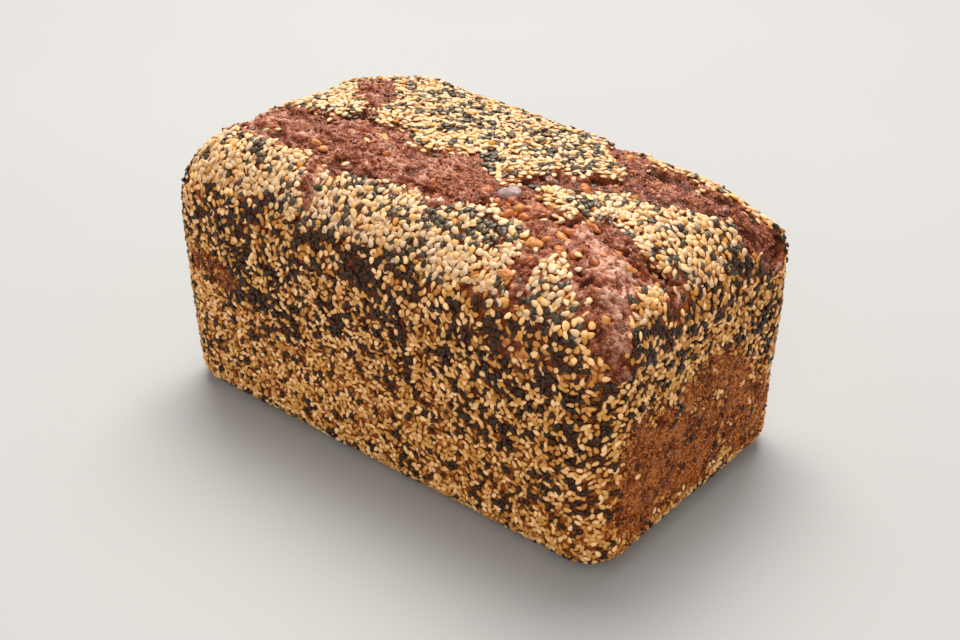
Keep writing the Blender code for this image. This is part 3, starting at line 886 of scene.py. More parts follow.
def make_piece(name, points, faces, finish, values=None, unrolled=None, stands_for=False):
    """Puts points, faces, point values and a flat map into a smooth mesh that rides on the loaf."""
    mesh = bpy.data.meshes.new(name)
    corners = np.concatenate([face.ravel() for face in faces]).astype(np.int32)
    sizes = np.concatenate([np.full(len(face), face.shape[1]) for face in faces])
    starts = np.concatenate([[0], np.cumsum(sizes)[:-1]]).astype(np.int32)
    mesh.vertices.add(len(points))
    mesh.vertices.foreach_set("co", points.astype(np.float32).ravel())
    mesh.loops.add(len(corners))
    mesh.loops.foreach_set("vertex_index", corners)
    mesh.polygons.add(len(sizes))
    mesh.polygons.foreach_set("loop_start", starts)
    mesh.update(calc_edges=True)
    if mesh.validate():
        raise RuntimeError(f"{name} has faulty faces")
    mesh.shade_smooth()
    for value_name, value in (values or {}).items():
        layer = mesh.attributes.new(value_name, "FLOAT", "POINT")
        layer.data.foreach_set("value", value.astype(np.float32).ravel())
    if unrolled is not None:
        layer = mesh.uv_layers.new(name="unrolled")
        layer.data.foreach_set("uv", unrolled[corners].astype(np.float32).ravel())
    mesh.materials.append(finish)
    piece = bpy.data.objects.new(name, mesh)
    bpy.context.scene.collection.objects.link(piece)
    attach(piece, "root")
    if stands_for:
        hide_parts("loaf")
    return piece


def brightened(color, factor):
    """A colour with every part multiplied by a factor."""
    return tuple(factor * part for part in color)


def blended(first, second, share):
    """A colour part of the way from the first to the second."""
    return tuple(start + (end - start) * share for start, end in zip(first, second))


def add_node(tree, kind, settings=None, inputs=None):
    """Adds a shader node, sets its options, and sets or links its inputs."""
    node = tree.nodes.new(kind)
    for name, value in (settings or {}).items():
        setattr(node, name, value)
    for key, value in (inputs or {}).items():
        if isinstance(value, bpy.types.NodeSocket):
            tree.links.new(value, node.inputs[key])
        else:
            node.inputs[key].default_value = value
    return node


def add_ramp(tree, factor, stops, interpolation="EASE"):
    """Adds a colour ramp with its stops and gives its colour."""
    node = add_node(tree, "ShaderNodeValToRGB", inputs={"Fac": factor})
    ramp = node.color_ramp
    ramp.interpolation = interpolation
    while len(ramp.elements) < len(stops):
        ramp.elements.new(0.5)
    for element, (place, color) in zip(ramp.elements, stops):
        element.position = place
        element.color = (*color, 1)
    return node.outputs["Color"]


def add_math(tree, operation, first, second, third=None, clamp=False):
    """Adds a math node and gives its value."""
    inputs = {0: first, 1: second}
    if third is not None:
        inputs[2] = third
    settings = {"operation": operation, "use_clamp": clamp}
    return add_node(tree, "ShaderNodeMath", settings, inputs).outputs[0]


def add_noise(tree, place, scale, detail, roughness=0.5, distortion=0):
    """Adds a noise texture and gives its value."""
    inputs = {
        "Vector": place, "Scale": scale, "Detail": detail, "Roughness": roughness, "Distortion": distortion,
    }
    return add_node(tree, "ShaderNodeTexNoise", inputs=inputs).outputs["Fac"]


def add_mix(tree, factor, first, second):
    """Adds a colour mix and gives its colour."""
    node = add_node(tree, "ShaderNodeMix", {"data_type": "RGBA"})
    for key, value in ((0, factor), (6, first), (7, second)):
        if isinstance(value, bpy.types.NodeSocket):
            tree.links.new(value, node.inputs[key])
        else:
            node.inputs[key].default_value = value if key == 0 else (*value, 1)
    return node.outputs[2]


def add_value(tree, name):
    """Reads one of the mesh's point values."""
    return add_node(tree, "ShaderNodeAttribute", {"attribute_name": name}).outputs["Fac"]


def add_bump(tree, shader, height, strength, distance):
    """Roughens a finish by a height, up to a distance."""
    inputs = {"Strength": strength, "Distance": distance, "Height": height}
    bump = add_node(tree, "ShaderNodeBump", inputs=inputs)
    tree.links.new(bump.outputs["Normal"], shader.inputs["Normal"])


def set_gloss(shader, strength, tint):
    """Sets the strength and the tint of a finish's gloss."""
    shader.inputs["Specular IOR Level"].default_value = strength
    shader.inputs["Specular Tint"].default_value = (*tint, 1)


def new_finish(name):
    """A new material with its tree, its shader and the object's coordinates."""
    material = bpy.data.materials.new(name)
    material.use_nodes = True
    tree = material.node_tree
    shader = tree.nodes["Principled BSDF"]
    place = add_node(tree, "ShaderNodeTexCoord").outputs["Object"]
    return material, tree, shader, place


def crust_finish(crust):
    """Baked crust that turns to torn crust by the torn value, coloured by the crest value: painted shade in
    its pits and hollows and painted highlight on its crests.
    """
    material = bpy.data.materials.get("rye crust")
    if material:
        return material
    material, tree, shader, place = new_finish("rye crust")
    torn, crest = add_value(tree, "torn"), add_value(tree, "crest")
    patches = add_noise(tree, place, 260, 4, 0.6)
    oily = add_noise(tree, place, 120, 3)
    grit = add_noise(tree, place, 1300, 4, 0.6)
    specks = add_noise(tree, place, 2600, 2)
    wrinkles = add_noise(tree, place, 480, 3, 0.5, 0.7)
    # Grit and specks, and on the torn crust the wrinkles, raise the bump below and lighten the colour by
    # the same noise: painted highlight on their rises and painted shade in their dips, over the crust's own
    # mottling.
    height = add_math(tree, "MULTIPLY_ADD", grit, 0.8, add_math(tree, "ADD", crest, -0.4))
    baked_height = add_math(tree, "MULTIPLY_ADD", specks, 0.9, add_math(tree, "ADD", height, -0.45))
    baked_stops = [(0.1, crust.crust_dark), (0.5, crust.crust_brown), (0.95, crust.crust_light)]
    baked = add_ramp(tree, baked_height, baked_stops)
    torn_height = add_math(tree, "MULTIPLY_ADD", patches, 0.9, add_math(tree, "ADD", height, -0.45))
    torn_height = add_math(tree, "MULTIPLY_ADD", wrinkles, 0.8, add_math(tree, "ADD", torn_height, -0.40))
    # Dark stops where the crest value is low and the pale stop where it is high: painted shade in pits and
    # hollows, painted highlight on crests.
    torn_stops = [
        (0.08, crust.torn_dark), (0.34, crust.torn_deep), (0.58, crust.torn_red), (0.98, crust.torn_pale),
    ]
    oily_share = add_math(tree, "MULTIPLY_ADD", oily, 5.0, -2.75, clamp=True)
    oily_share = add_math(tree, "MULTIPLY", oily_share, 0.6)
    torn_color = add_ramp(tree, torn_height, torn_stops, "LINEAR")
    torn_color = add_mix(tree, oily_share, torn_color, crust.torn_orange)
    tree.links.new(add_mix(tree, torn, baked, torn_color), shader.inputs["Base Color"])
    rough = add_math(tree, "MULTIPLY_ADD", specks, 0.3, add_math(tree, "MULTIPLY_ADD", torn, -0.11, 0.23))
    tree.links.new(rough, shader.inputs["Roughness"])
    set_gloss(shader, 0.42, (1.0, 0.64, 0.38))
    folds = add_math(tree, "MULTIPLY", wrinkles, add_math(tree, "MULTIPLY_ADD", torn, 1.9, 0.6))
    folds = add_math(tree, "ADD", folds, add_math(tree, "MULTIPLY_ADD", specks, 0.5, grit))
    add_bump(tree, shader, folds, 0.9, 0.32 * MM)
    return material


def seed_finish(name, light, dark, roughness, gloss, tint):
    """Sesame of one kind: its tone runs from light to dark, with faint mottling and a fine skin."""
    material, tree, shader, place = new_finish(name)
    tone = add_value(tree, "tone")
    mottle = add_noise(tree, place, 900, 2)
    value = add_math(tree, "MULTIPLY_ADD", mottle, 0.5, add_math(tree, "ADD", tone, -0.25), clamp=True)
    shades = add_ramp(tree, value, [(0.0, light), (1.0, dark)], "LINEAR")
    tree.links.new(shades, shader.inputs["Base Color"])
    skin = add_noise(tree, place, 3200, 2)
    rough = add_math(tree, "MULTIPLY_ADD", skin, 0.2, roughness - 0.1)
    tree.links.new(rough, shader.inputs["Roughness"])
    set_gloss(shader, gloss, tint)
    add_bump(tree, shader, skin, 0.5, 0.06 * MM)
    return material


def sesame_finish(seeds, name):
    """One finish of sesame, made once: its light and dark shade, its roughness, and its gloss and tint."""
    finish = bpy.data.materials.get(name)
    if finish:
        return finish
    ivory, golden, toasted, brown = seeds.ivory, seeds.golden, seeds.toasted, seeds.brown
    black, glazed, warm = seeds.black, seeds.glazed, seeds.warm_gloss
    pale = brightened(blended(golden, ivory, 0.5), 1.48)
    toasted_light, toasted_dark = blended(toasted, golden, 0.35), blended(toasted, brown, 0.4)
    brown_light, brown_dark = blended(brown, toasted, 0.35), blended(brown, (0, 0, 0), 0.35)
    cream_light, cream_dark = blended(ivory, golden, 0.4), blended(golden, toasted, 0.4)
    # Each dark shade is reached by darker seeds and by the painted shade at each seed's rim.
    finishes = {
        "golden sesame": (pale, blended(golden, toasted, 0.7), 0.40, 0.40, warm),
        "amber sesame": (golden, toasted, 0.40, 0.36, warm),
        "toasted sesame": (toasted_light, toasted_dark, 0.42, 0.3, warm),
        "brown sesame": (brown_light, brown_dark, 0.45, 0.25, warm),
        "glazed sesame": (brightened(glazed, 2.3), brightened(glazed, 0.45), 0.34, 0.42, (1.0, 0.84, 0.70)),
        "black sesame": (brightened(black, 1.7), brightened(black, 0.5), 0.42, 0.55, (1.0, 0.82, 0.62)),
        "ivory sesame": (ivory, blended(ivory, golden, 0.8), 0.42, 0.45, (1.0, 0.90, 0.78)),
        "cream sesame": (cream_light, cream_dark, 0.42, 0.45, (1.0, 0.88, 0.74)),
    }
    return seed_finish(name, *finishes[name])


def grain_finish(grain):
    """Grain and bran: violet grey, brown, orange or golden by the tone value, glossy where it was cut."""
    material = bpy.data.materials.get("rye grain")
    if material:
        return material
    material, tree, shader, place = new_finish("rye grain")
    tone = add_value(tree, "tone")
    mottle = add_noise(tree, place, 700, 3)
    value = add_math(tree, "MULTIPLY_ADD", mottle, 0.3, add_math(tree, "ADD", tone, -0.15), clamp=True)
    stops = [(0.02, grain.grey), (0.3, grain.brown), (0.6, grain.orange), (1.0, grain.golden)]
    tree.links.new(add_ramp(tree, value, stops, "LINEAR"), shader.inputs["Base Color"])
    skin = add_noise(tree, place, 1800, 3)
    tree.links.new(add_math(tree, "MULTIPLY_ADD", skin, 0.3, 0.28), shader.inputs["Roughness"])
    set_gloss(shader, 0.4, (1.0, 0.85, 0.7))
    add_bump(tree, shader, skin, 0.6, 0.12 * MM)
    return material


def uneven_steps(low, high, count, breaks, densities):
    """Places from low to high whose density between the breaks follows the densities."""
    edges = np.array([low, *breaks, high])
    total = np.concatenate([[0], np.cumsum(np.diff(edges) * densities)])
    return np.interp(np.linspace(0, total[-1], count + 1), total, edges)


def flat_grid(x_lines, y_lines):
    """The two places of each point of a grid, along its first lines first."""
    return [part.ravel() for part in np.meshgrid(x_lines, y_lines)]


def grid_faces(columns, rows):
    """Quads of a grid whose points run along its columns first."""
    column, row = np.meshgrid(np.arange(columns - 1), np.arange(rows - 1))
    start = (row * columns + column).ravel()
    return np.stack([start, start + 1, start + columns + 1, start + columns], -1)


def border_of(columns, rows):
    """Index of a grid's border points, once round from its first corner."""
    bottom = np.arange(columns)
    right = np.arange(1, rows) * columns + columns - 1
    top = (rows - 1) * columns + np.arange(columns - 2, -1, -1)
    left = np.arange(rows - 2, 0, -1) * columns
    return np.concatenate([bottom, right, top, left])


def band_faces(lower, upper):
    """Quads between two closed rings of point indices, facing out when they run counterclockwise."""
    return np.stack([lower, np.roll(lower, -1), np.roll(upper, -1), upper], -1)


def closing_faces(ring, start, bands):
    """Bands from a ring over further rings, numbered from the start, and a fan to the point after them."""
    faces = []
    for _ in range(bands):
        upper = start + np.arange(len(ring))
        faces.append(band_faces(ring, upper))
        ring, start = upper, start + len(ring)
    return [*faces, np.stack([ring, np.roll(ring, -1), np.full(len(ring), start)], -1)]


class LOAF_OT_dome_crust(bpy.types.Operator):
    """Adds the crust of the dome, with its tears, crevices and lumps"""

    bl_idname = "rye_loaf.dome_crust"
    bl_label = "Dome Crust"

    def execute(self, context):
        scene = context.scene
        crust = scene.rye_loaf_crust
        loaf = Loaf(scene.rye_loaf_shape)
        length, width = loaf.grid_length / MM, loaf.grid_width / MM
        columns, rows = DOME_LINES
        x_lines = uneven_steps(-length, length, columns, [-78, 100], [0.6, 1.0, 0.7]) * MM
        y_lines = uneven_steps(-width, width, rows, [-44, -6, 46], [0.45, 1.25, 0.85, 0.45]) * MM
        grid_x, grid_y = flat_grid(x_lines, y_lines)
        base, normal, _ = loaf.on_dome(grid_x, grid_y)
        torn, depth, _ = torn_field(grid_x, grid_y, loaf)
        relief, crest = torn_lumps(base, crust)
        # Painted shade: the torn crust is darker where the tear and its crevices cut deep.
        crest -= 0.26 * np.clip(depth - 0.9, 0, 2)
        # Painted highlight and shade, and lighter or darker crust, from the table.
        for change, stroke in TORN_LIGHT_AND_BAKE:
            crest += change * near_stroke(stroke, grid_x / MM, grid_y / MM, TONE_EDGE)
        plain = -crust.seat + 0.30 * MM * layered_noise(base, 1.8 * MM, 81)
        height = plain * (1 - torn) + (relief - depth * MM) * torn
        cover = eased((loaf.from_edge(grid_x, grid_y) / MM - 8) / 10)
        golden_end = eased((grid_x / MM - 84) / 8) * (1 - cover)
        stain = np.maximum(torn, 0.55 + 0.2 * cover - 0.4 * golden_end)
        seated = 0.22 + 0.24 * cover + 0.20 * golden_end + 0.30 * smooth_noise(base, 1.4 * MM, 82)
        crest = np.where(torn > 0.3, crest, seated)

        # The skirt goes down inside the walls, and a point in the middle closes it.
        ring = border_of(len(x_lines), len(y_lines))
        rim = base[ring]
        outward = unit(normal[ring] * [1, 1, 0])
        points = [base + normal * height[:, None]]
        for drop, inset in SKIRT:
            points.append(rim - outward * inset * MM)
            points[-1][:, 2] = rim[:, 2] - drop * MM
        points.append([[0, 0, loaf.shape.rim - CLOSING_DEPTH * MM]])
        inner = closing_faces(ring, len(base), len(SKIRT))
        faces = [grid_faces(len(x_lines), len(y_lines)), *(face[:, ::-1] for face in inner)]
        spare = len(SKIRT) * len(ring) + 1
        values = {
            "torn": np.concatenate([stain, np.zeros(spare)]),
            "crest": np.concatenate([crest, np.full(spare, 0.4)]),
        }
        unrolled = np.stack([grid_x, grid_y], -1) / (2.4 * loaf.grid_length) + 0.5
        unrolled = np.concatenate([unrolled, *[unrolled[ring]] * len(SKIRT), [[0.5, 0.5]]])
        points = np.concatenate(points)
        make_piece("crust_dome", points, faces, crust_finish(crust), values, unrolled, True)
        return {"FINISHED"}


class LOAF_OT_wall_crust(bpy.types.Operator):
    """Adds the crust of the four walls and the bottom, with the bare patches and their pores"""

    bl_idname = "rye_loaf.wall_crust"
    bl_label = "Wall Crust"

    def execute(self, context):
        scene = context.scene
        crust, shape = scene.rye_loaf_crust, scene.rye_loaf_shape
        loaf = Loaf(shape)
        length, width = loaf.grid_length, loaf.grid_width
        columns, rows = FLOOR_LINES
        grid_x, grid_y = flat_grid(np.linspace(-length, length, columns), np.linspace(-width, width, rows))
        floor = loaf.bottom(grid_x, grid_y)
        floor[:, 2] = 0.45 * MM + 0.15 * MM * layered_noise(floor, 3 * MM, 91)

        # The walls rise from the bottom's border, level by level.
        ring = border_of(columns, rows)
        perimeter = 4 * (length + width)
        steps = np.abs(np.diff(grid_x[ring])) + np.abs(np.diff(grid_y[ring]))
        share = np.concatenate([[0], np.cumsum(steps)]) / perimeter
        angles = np.linspace(0, math.pi / 2, ROUNDING_LEVELS)[1:]
        levels = np.concatenate([
            shape.rounding * (1 - np.cos(angles)),
            np.linspace(shape.rounding, shape.rim, WALL_LEVELS)[1:],
        ])
        base, normal, _ = loaf.on_wall(*flat_grid(share, levels))
        bare = bare_share(base, normal)
        dents = eased((0.30 - cell_noise(base, 2.1 * MM, 95)) / 0.2)
        rough = (0.32 - 0.14 * bare) * layered_noise(base, 1.7 * MM, 96)
        rough += 0.16 * smooth_noise(base, 6 * MM, 97)
        seat = -crust.wall_seat * (1 - bare) - 0.32 * MM * bare
        height = seat + MM * rough - 0.45 * MM * dents * bare
        walls = base + normal * height[:, None]
        walls[:, 2] = np.maximum(walls[:, 2], 0.3 * MM)
        tuck = walls[-len(ring):] - unit(normal[-len(ring):] * [1, 1, 0]) * TUCK * MM + [0, 0, TUCK * MM]
        points = np.concatenate([floor, walls, tuck, [[0, 0, shape.rim + TUCK * MM]]])
        faces = [grid_faces(columns, rows)[:, ::-1], *closing_faces(ring, len(floor), len(levels) + 1)]
        floor_map = np.stack([grid_x, grid_y], -1) / (9 * length) + [0.2, 0.85]
        map_levels = np.concatenate([levels, [shape.rim + TUCK * MM]]) / perimeter
        wall_map = np.stack(flat_grid(share, map_levels), -1) * 0.98 + 0.01
        unrolled = np.concatenate([floor_map, wall_map, [[0.5, 0.3]]])

        z = base[:, 2] / MM
        low = eased((44 - z) / 16) * (1 - bare)
        crest = 0.14 + 0.34 * smooth_noise(base, 1.5 * MM, 98)
        # The pores of the bare crust are painted darker, as shade in them.
        crest += -0.3 * dents * bare + 0.36 * bare + 0.32 * low
        crest += (0.36 * blotches(base) - 0.10 * eased((24 - z) / 16)) * bare
        stain = (0.6 - 0.45 * (normal[:, 0] > 0.5)) * eased((z - 36) / 22) * (1 - bare)
        stain += 0.2 * eased(smooth_noise(base, 8 * MM, 94))
        floor_crest = 0.5 + 0.2 * smooth_noise(floor, 2 * MM, 99)
        spare = len(ring) + 1
        values = {
            "torn": np.concatenate([np.zeros(len(floor)), stain, np.full(spare, 0.35)]),
            "crest": np.concatenate([floor_crest, crest, np.full(spare, 0.4)]),
        }
        make_piece("crust_walls", points, faces, crust_finish(crust), values, unrolled, True)
        return {"FINISHED"}


def stray_kinds(points, normals):
    """For each place on the near end: whether a stray seed lies there, and whether it is a black one."""
    y, z = points[:, 1] / MM, points[:, 2] / MM
    table = np.array(STRAYS_END)
    apart = np.hypot(y[:, None] - table[:, 0], z[:, None] - table[:, 1]) - table[:, 2]
    stray = (apart.min(axis=1) < 0) & (normals[:, 0] > FACES)
    return stray, table[apart.argmin(axis=1), 3] > 0.5


def dark_clumps(points, share):
    """Chance of a black seed: the mean share, raised and lowered in clumps by noise of two sizes."""
    clumps = 0.4 * smooth_noise(points, 9 * MM, 101) + 0.9 * smooth_noise(points, 3.4 * MM, 102)
    return np.clip(share + 0.47 * clumps, 0.015, 0.86)


def split_kinds(random, chances):
    """One kind for each seed, as a number, drawn by its row of chances."""
    limits = np.cumsum(chances / chances.sum(axis=1, keepdims=True), axis=1)
    return (random.random(len(chances))[:, None] > limits).sum(axis=1)


def varied(sizes, random, count, spread, least, most):
    """Length, width and thickness of each copy, each varied by the spread, from the least to the most."""
    return np.array(sizes) * np.clip(1 + spread * random.standard_normal((count, 3)), least, most)


def seed_sizes(seeds, random, count):
    """Length, width and thickness of each seed, each varied by about a tenth."""
    return varied([seeds.length, seeds.width, seeds.thickness], random, count, 0.09, 0.75, 1.25)


def tumbled(random, normal, tangent, roll, pitch):
    """Directions of copies turned any way in the surface, rolled and pitched by angles of that spread."""
    count = len(normal)
    turn = random.uniform(0, 2 * math.pi, count)
    return seed_axes(normal, tangent, turn, random.normal(0, roll, count), random.normal(0, pitch, count))


def half_depth(axes, sizes, normal):
    """How far a seed reaches along a direction: the root of the squares of its half axes along it."""
    reach = [np.sum(axes[axis] * normal, axis=1) * sizes[:, axis] / 2 for axis in range(3)]
    return np.sqrt(sum(part**2 for part in reach))


def sow(kinds, kind, seeds, pattern, centres, axes, sizes, tone, rim_shading):
    """Joins the seeds of each kind into one piece. Their tone deepens from the flat middle to the edge, as
    painted shade, warm like light through the seed, at each seed's rim.
    """
    # Painted shade: lighter on the flat faces, darker towards the rim.
    edge = rim_shading * (0.64 - np.abs(pattern[0][:, 2]))
    for number, (name, slot, finish) in enumerate(kinds):
        chosen = np.flatnonzero(kind == number)
        picked = [axis[chosen] for axis in axes]
        points, faces = placed_copies(pattern, centres[chosen], picked, sizes[chosen])
        values = {"tone": (tone[chosen][:, None] + edge[None]).ravel()}
        make_piece(name, points, faces, sesame_finish(seeds, finish), values)


class LOAF_OT_pressed_seeds(bpy.types.Operator):
    """Adds the seeds baked into the walls and the bottom, flush with the tin"""

    bl_idname = "rye_loaf.pressed_seeds"
    bl_label = "Pressed Seeds"

    def execute(self, context):
        scene = context.scene
        seeds, shape = scene.rye_loaf_seeds, scene.rye_loaf_shape
        loaf = Loaf(shape)
        random = np.random.default_rng(7)
        share, height = random.random(WALL_TRIES), random.random(WALL_TRIES) * shape.rim
        kept = keep_apart(loaf.wall(share, height), seeds.wall_gap, random)
        base, normal, tangent = loaf.on_wall(share[kept], height[kept])
        stray, _ = stray_kinds(base, normal)
        stays = (random.random(len(base)) > 1.02 * bare_share(base, normal) - 0.02) | stray
        under = loaf.bottom(*loaf.anywhere(random, BOTTOM_TRIES))
        under = under[keep_apart(under, seeds.bottom_gap, random)]
        base = np.concatenate([base[stays], under])
        normal = np.concatenate([normal[stays], np.tile([0.0, 0.0, -1.0], (len(under), 1))])
        tangent = np.concatenate([tangent[stays], np.tile([1.0, 0.0, 0.0], (len(under), 1))])

        # Most seeds lie flat. Some stand on their side, and some on their point.
        total = len(base)
        pose = random.random(total)
        roll = np.where(pose < 0.18, random.uniform(0.7, 1.57, total), random.normal(0, 0.22, total))
        roll *= np.where(random.random(total) < 0.5, -1, 1)
        pitch = np.where(pose > 0.87, random.uniform(0.7, 1.4, total), random.normal(0, 0.16, total))
        axes = seed_axes(normal, tangent, random.uniform(0, 2 * math.pi, total), roll, pitch)
        sizes = seed_sizes(seeds, random, total) * PRESSED_SHAPE
        stray, black_stray = stray_kinds(base, normal)
        edge_of_bare = bare_share(base, normal) * ~stray
        uneven = random.uniform(-0.22, 0.22, total) + 0.10 * edge_of_bare - 0.38 * stray
        sunk = half_depth(axes, sizes, normal) + uneven * MM
        centres = base - normal * sunk[:, None]
        centres[:, 2] = np.maximum(centres[:, 2], half_depth(axes, sizes, np.array([0.0, 0.0, 1.0])))

        # The chance of each kind, in the order of the pressed kinds.
        x, y, z = base.T / MM
        front = 0.27 * within_strokes(DARK_FRONT, x, z) - 0.11 * within_strokes(GOLDEN_FRONT, x, z)
        near = 0.24 * within_strokes(DARK_END, y, z) - 0.10
        gathered = 0.10 * np.exp(-(((z - 54) / 15) ** 2))
        gathered += np.where(normal[:, 1] < -0.5, front, 0)
        gathered += np.where(normal[:, 0] > 0.5, near, 0)
        black = dark_clumps(base, seeds.black_share - 0.09 + gathered)
        black = np.where(stray, black_stray, black)
        warmth = smooth_noise(base, 9 * MM, 111)
        baked = 0.6 * edge_of_bare
        chances = np.stack([
            black,
            (1 - black) * (0.46 + 0.12 * warmth - 0.7 * baked + 0.8 * stray),
            (1 - black) * (0.30 - 0.2 * baked),
            (1 - black) * (0.17 - 0.08 * warmth + 0.6 * baked),
            (1 - black) * (0.07 - 0.04 * warmth + 0.3 * baked),
        ], 1).clip(0)
        kind = split_kinds(random, chances)
        tone = np.clip(random.normal(0.45, 0.30, total), 0, 1)
        sow(PRESSED_KINDS, kind, seeds, seed_pattern(6, 3), centres, axes, sizes, tone, 0.45)
        return {"FINISHED"}


def strewn_layer(loaf, seeds, random, layer):
    """One layer of loose seeds: where they lie on the dome, how they are turned, and how high they sit.

    The seeds keep apart by the layer's gap, and thin out over the tears and in the sparse places. Of
    the upper layer, only a few strays lie in the tears. Seeds sit lower at the rim than on the plates.
    """
    upper = layer["upper"]
    grid_x, grid_y = loaf.anywhere(random, layer["tries"])
    kept = keep_apart(loaf.dome(grid_x, grid_y), seeds.upper_gap if upper else seeds.top_gap, random)
    grid_x, grid_y = grid_x[kept], grid_y[kept]
    base, normal, tangent = loaf.on_dome(grid_x, grid_y)
    torn, depth, inside = torn_field(grid_x, grid_y, loaf)
    x, y = grid_x / MM, grid_y / MM
    sparse = 0.45 * near_stroke(SPARSE_TOP, x, y, 6)
    sparse = np.maximum(sparse, 0.72 * near_stroke(RED_TOP, x, y, 5))
    sparse = np.maximum(sparse, 0.75 * near_stroke(THIN_TOP, x, y, 5))
    if upper:
        sparse = np.maximum(sparse, eased((1.6 + inside) / 1.6))
    strays = layer["strays"] + layer["spill"] * eased((3.4 - inside) / 2.4)
    chance = (1 - sparse) * eased((0.9 - inside) / 1.5) + strays * (inside > 0.4)
    total = len(base)
    stays = random.random(total) < chance
    from_edge = loaf.from_edge(grid_x, grid_y)
    loose = eased(from_edge / (14 * MM))
    if upper:
        stays &= random.random(total) < 0.32 + 0.68 * loose
    lift = (layer["rim_lift"] + layer["rise"] * loose) * MM - depth * MM + 0.35 * MM * torn
    lift = lift + random.normal(0, layer["uneven"], total) * MM
    steep = random.random(total) < layer["steep"]
    roll = np.where(steep, random.uniform(0.6, 1.4, total), random.normal(0, 0.16, total))
    pitch = random.normal(0, layer["pitch"], total)
    axes = seed_axes(normal, tangent, random.uniform(0, 2 * math.pi, total), roll, pitch)
    centres = base + normal * lift[:, None]
    return [part[stays] for part in (centres, *axes, from_edge, base, normal, grid_x, grid_y)]


class LOAF_OT_loose_seeds(bpy.types.Operator):
    """Adds the two layers of seeds strewn on the dome's plates, and the strays in its tears"""

    bl_idname = "rye_loaf.loose_seeds"
    bl_label = "Loose Seeds"

    def execute(self, context):
        scene = context.scene
        seeds = scene.rye_loaf_seeds
        loaf = Loaf(scene.rye_loaf_shape)
        random = np.random.default_rng(19)
        layers = [strewn_layer(loaf, seeds, random, layer) for layer in LOOSE_LAYERS]
        centres, length, width, thickness, from_edge, base, normal, grid_x, grid_y = (
            np.concatenate(parts) for parts in zip(*layers)
        )
        total = len(centres)
        sizes = seed_sizes(seeds, random, total) * LOOSE_SHAPE
        low = eased((17.5 - from_edge / MM + 2.5 * smooth_noise(base, 6 * MM, 105)) / 7)
        sizes *= (1 - 0.06 * low)[:, None]
        centres -= normal * (0.12 * MM * low)[:, None]

        # The chance of each kind, in the order of the loose kinds: the near end's are toasted warmer.
        gathered = 0.44 * within_strokes(DARK_TOP, grid_x / MM, grid_y / MM) * (1 - low)
        gathered += 0.13 * eased(grid_y / (8 * MM)) * eased(5 - grid_x / (10 * MM)) * (1 - low)
        black = dark_clumps(base, seeds.black_share - 0.15 + 0.40 * low + gathered)
        chances = np.stack([
            black * (1 - low),
            (1 - black) * 0.72 * (1 - low),
            (1 - black) * (0.25 - 0.20 * low),
            (1 - black) * (0.03 + 0.37 * low),
            black * low,
            (1 - black) * 0.55 * low,
        ], 1)
        warm_end = 0.5 * eased((grid_x / MM - 72) / 12)
        chances[:, 3] += warm_end * chances[:, 1] * 0.35
        chances[:, 5] += warm_end * chances[:, 1] * 0.65
        chances[:, 1] *= 1 - warm_end
        kind = split_kinds(random, chances)
        tone = np.clip(random.normal(0.45, 0.26, total), 0, 1)
        axes = (length, width, thickness)
        sow(LOOSE_KINDS, kind, seeds, seed_pattern(8, 3), centres, axes, sizes, tone, 0.55)
        return {"FINISHED"}


def lumped(points, centres, factor):
    """Points of copies moved to or from their own centre, each by its factor."""
    middles = np.repeat(centres, len(points) // len(centres), axis=0)
    return middles + (points - middles) * factor[:, None]


class LOAF_OT_kernels(bpy.types.Operator):
    """Adds the whole and cut grain baked into the tears"""

    bl_idname = "rye_loaf.kernels"
    bl_label = "Kernels"

    def execute(self, context):
        scene = context.scene
        loaf = Loaf(scene.rye_loaf_shape)
        random = np.random.default_rng(23)
        table = np.array(KERNELS)
        grid_x, grid_y = table[:, 0] * MM, table[:, 1] * MM
        base, normal, tangent = loaf.on_dome(grid_x, grid_y)
        _, depth, _ = torn_field(grid_x, grid_y, loaf)
        count = len(table)
        roll, pitch = random.normal(0, 0.3, count), random.normal(0, 0.15, count)
        axes = seed_axes(normal, tangent, np.radians(table[:, 5]), roll, pitch)
        sunk = depth * MM * 0.9 + (table[:, 7] + 0.05) * MM
        centres = base - normal * sunk[:, None]
        pattern = seed_pattern(22, 13, 0.12, 0.85)
        points, faces = placed_copies(pattern, centres, axes, table[:, 2:5] * MM)
        lumpy = 0.78 + 0.34 * smooth_noise(points, 1.8 * MM, 121) + 0.52 * crests(points, 1.3 * MM, 122)
        points = lumped(points, centres, lumpy)
        # The tone sinks where the kernel's surface is pushed in and rises where it bulges: painted shade in
        # its creases and painted highlight on its lumps.
        values = {"tone": np.repeat(table[:, 6], len(pattern[0])) + 1.2 * (lumpy - 1)}
        make_piece("kernels", points, faces, grain_finish(scene.rye_loaf_grain), values)
        return {"FINISHED"}


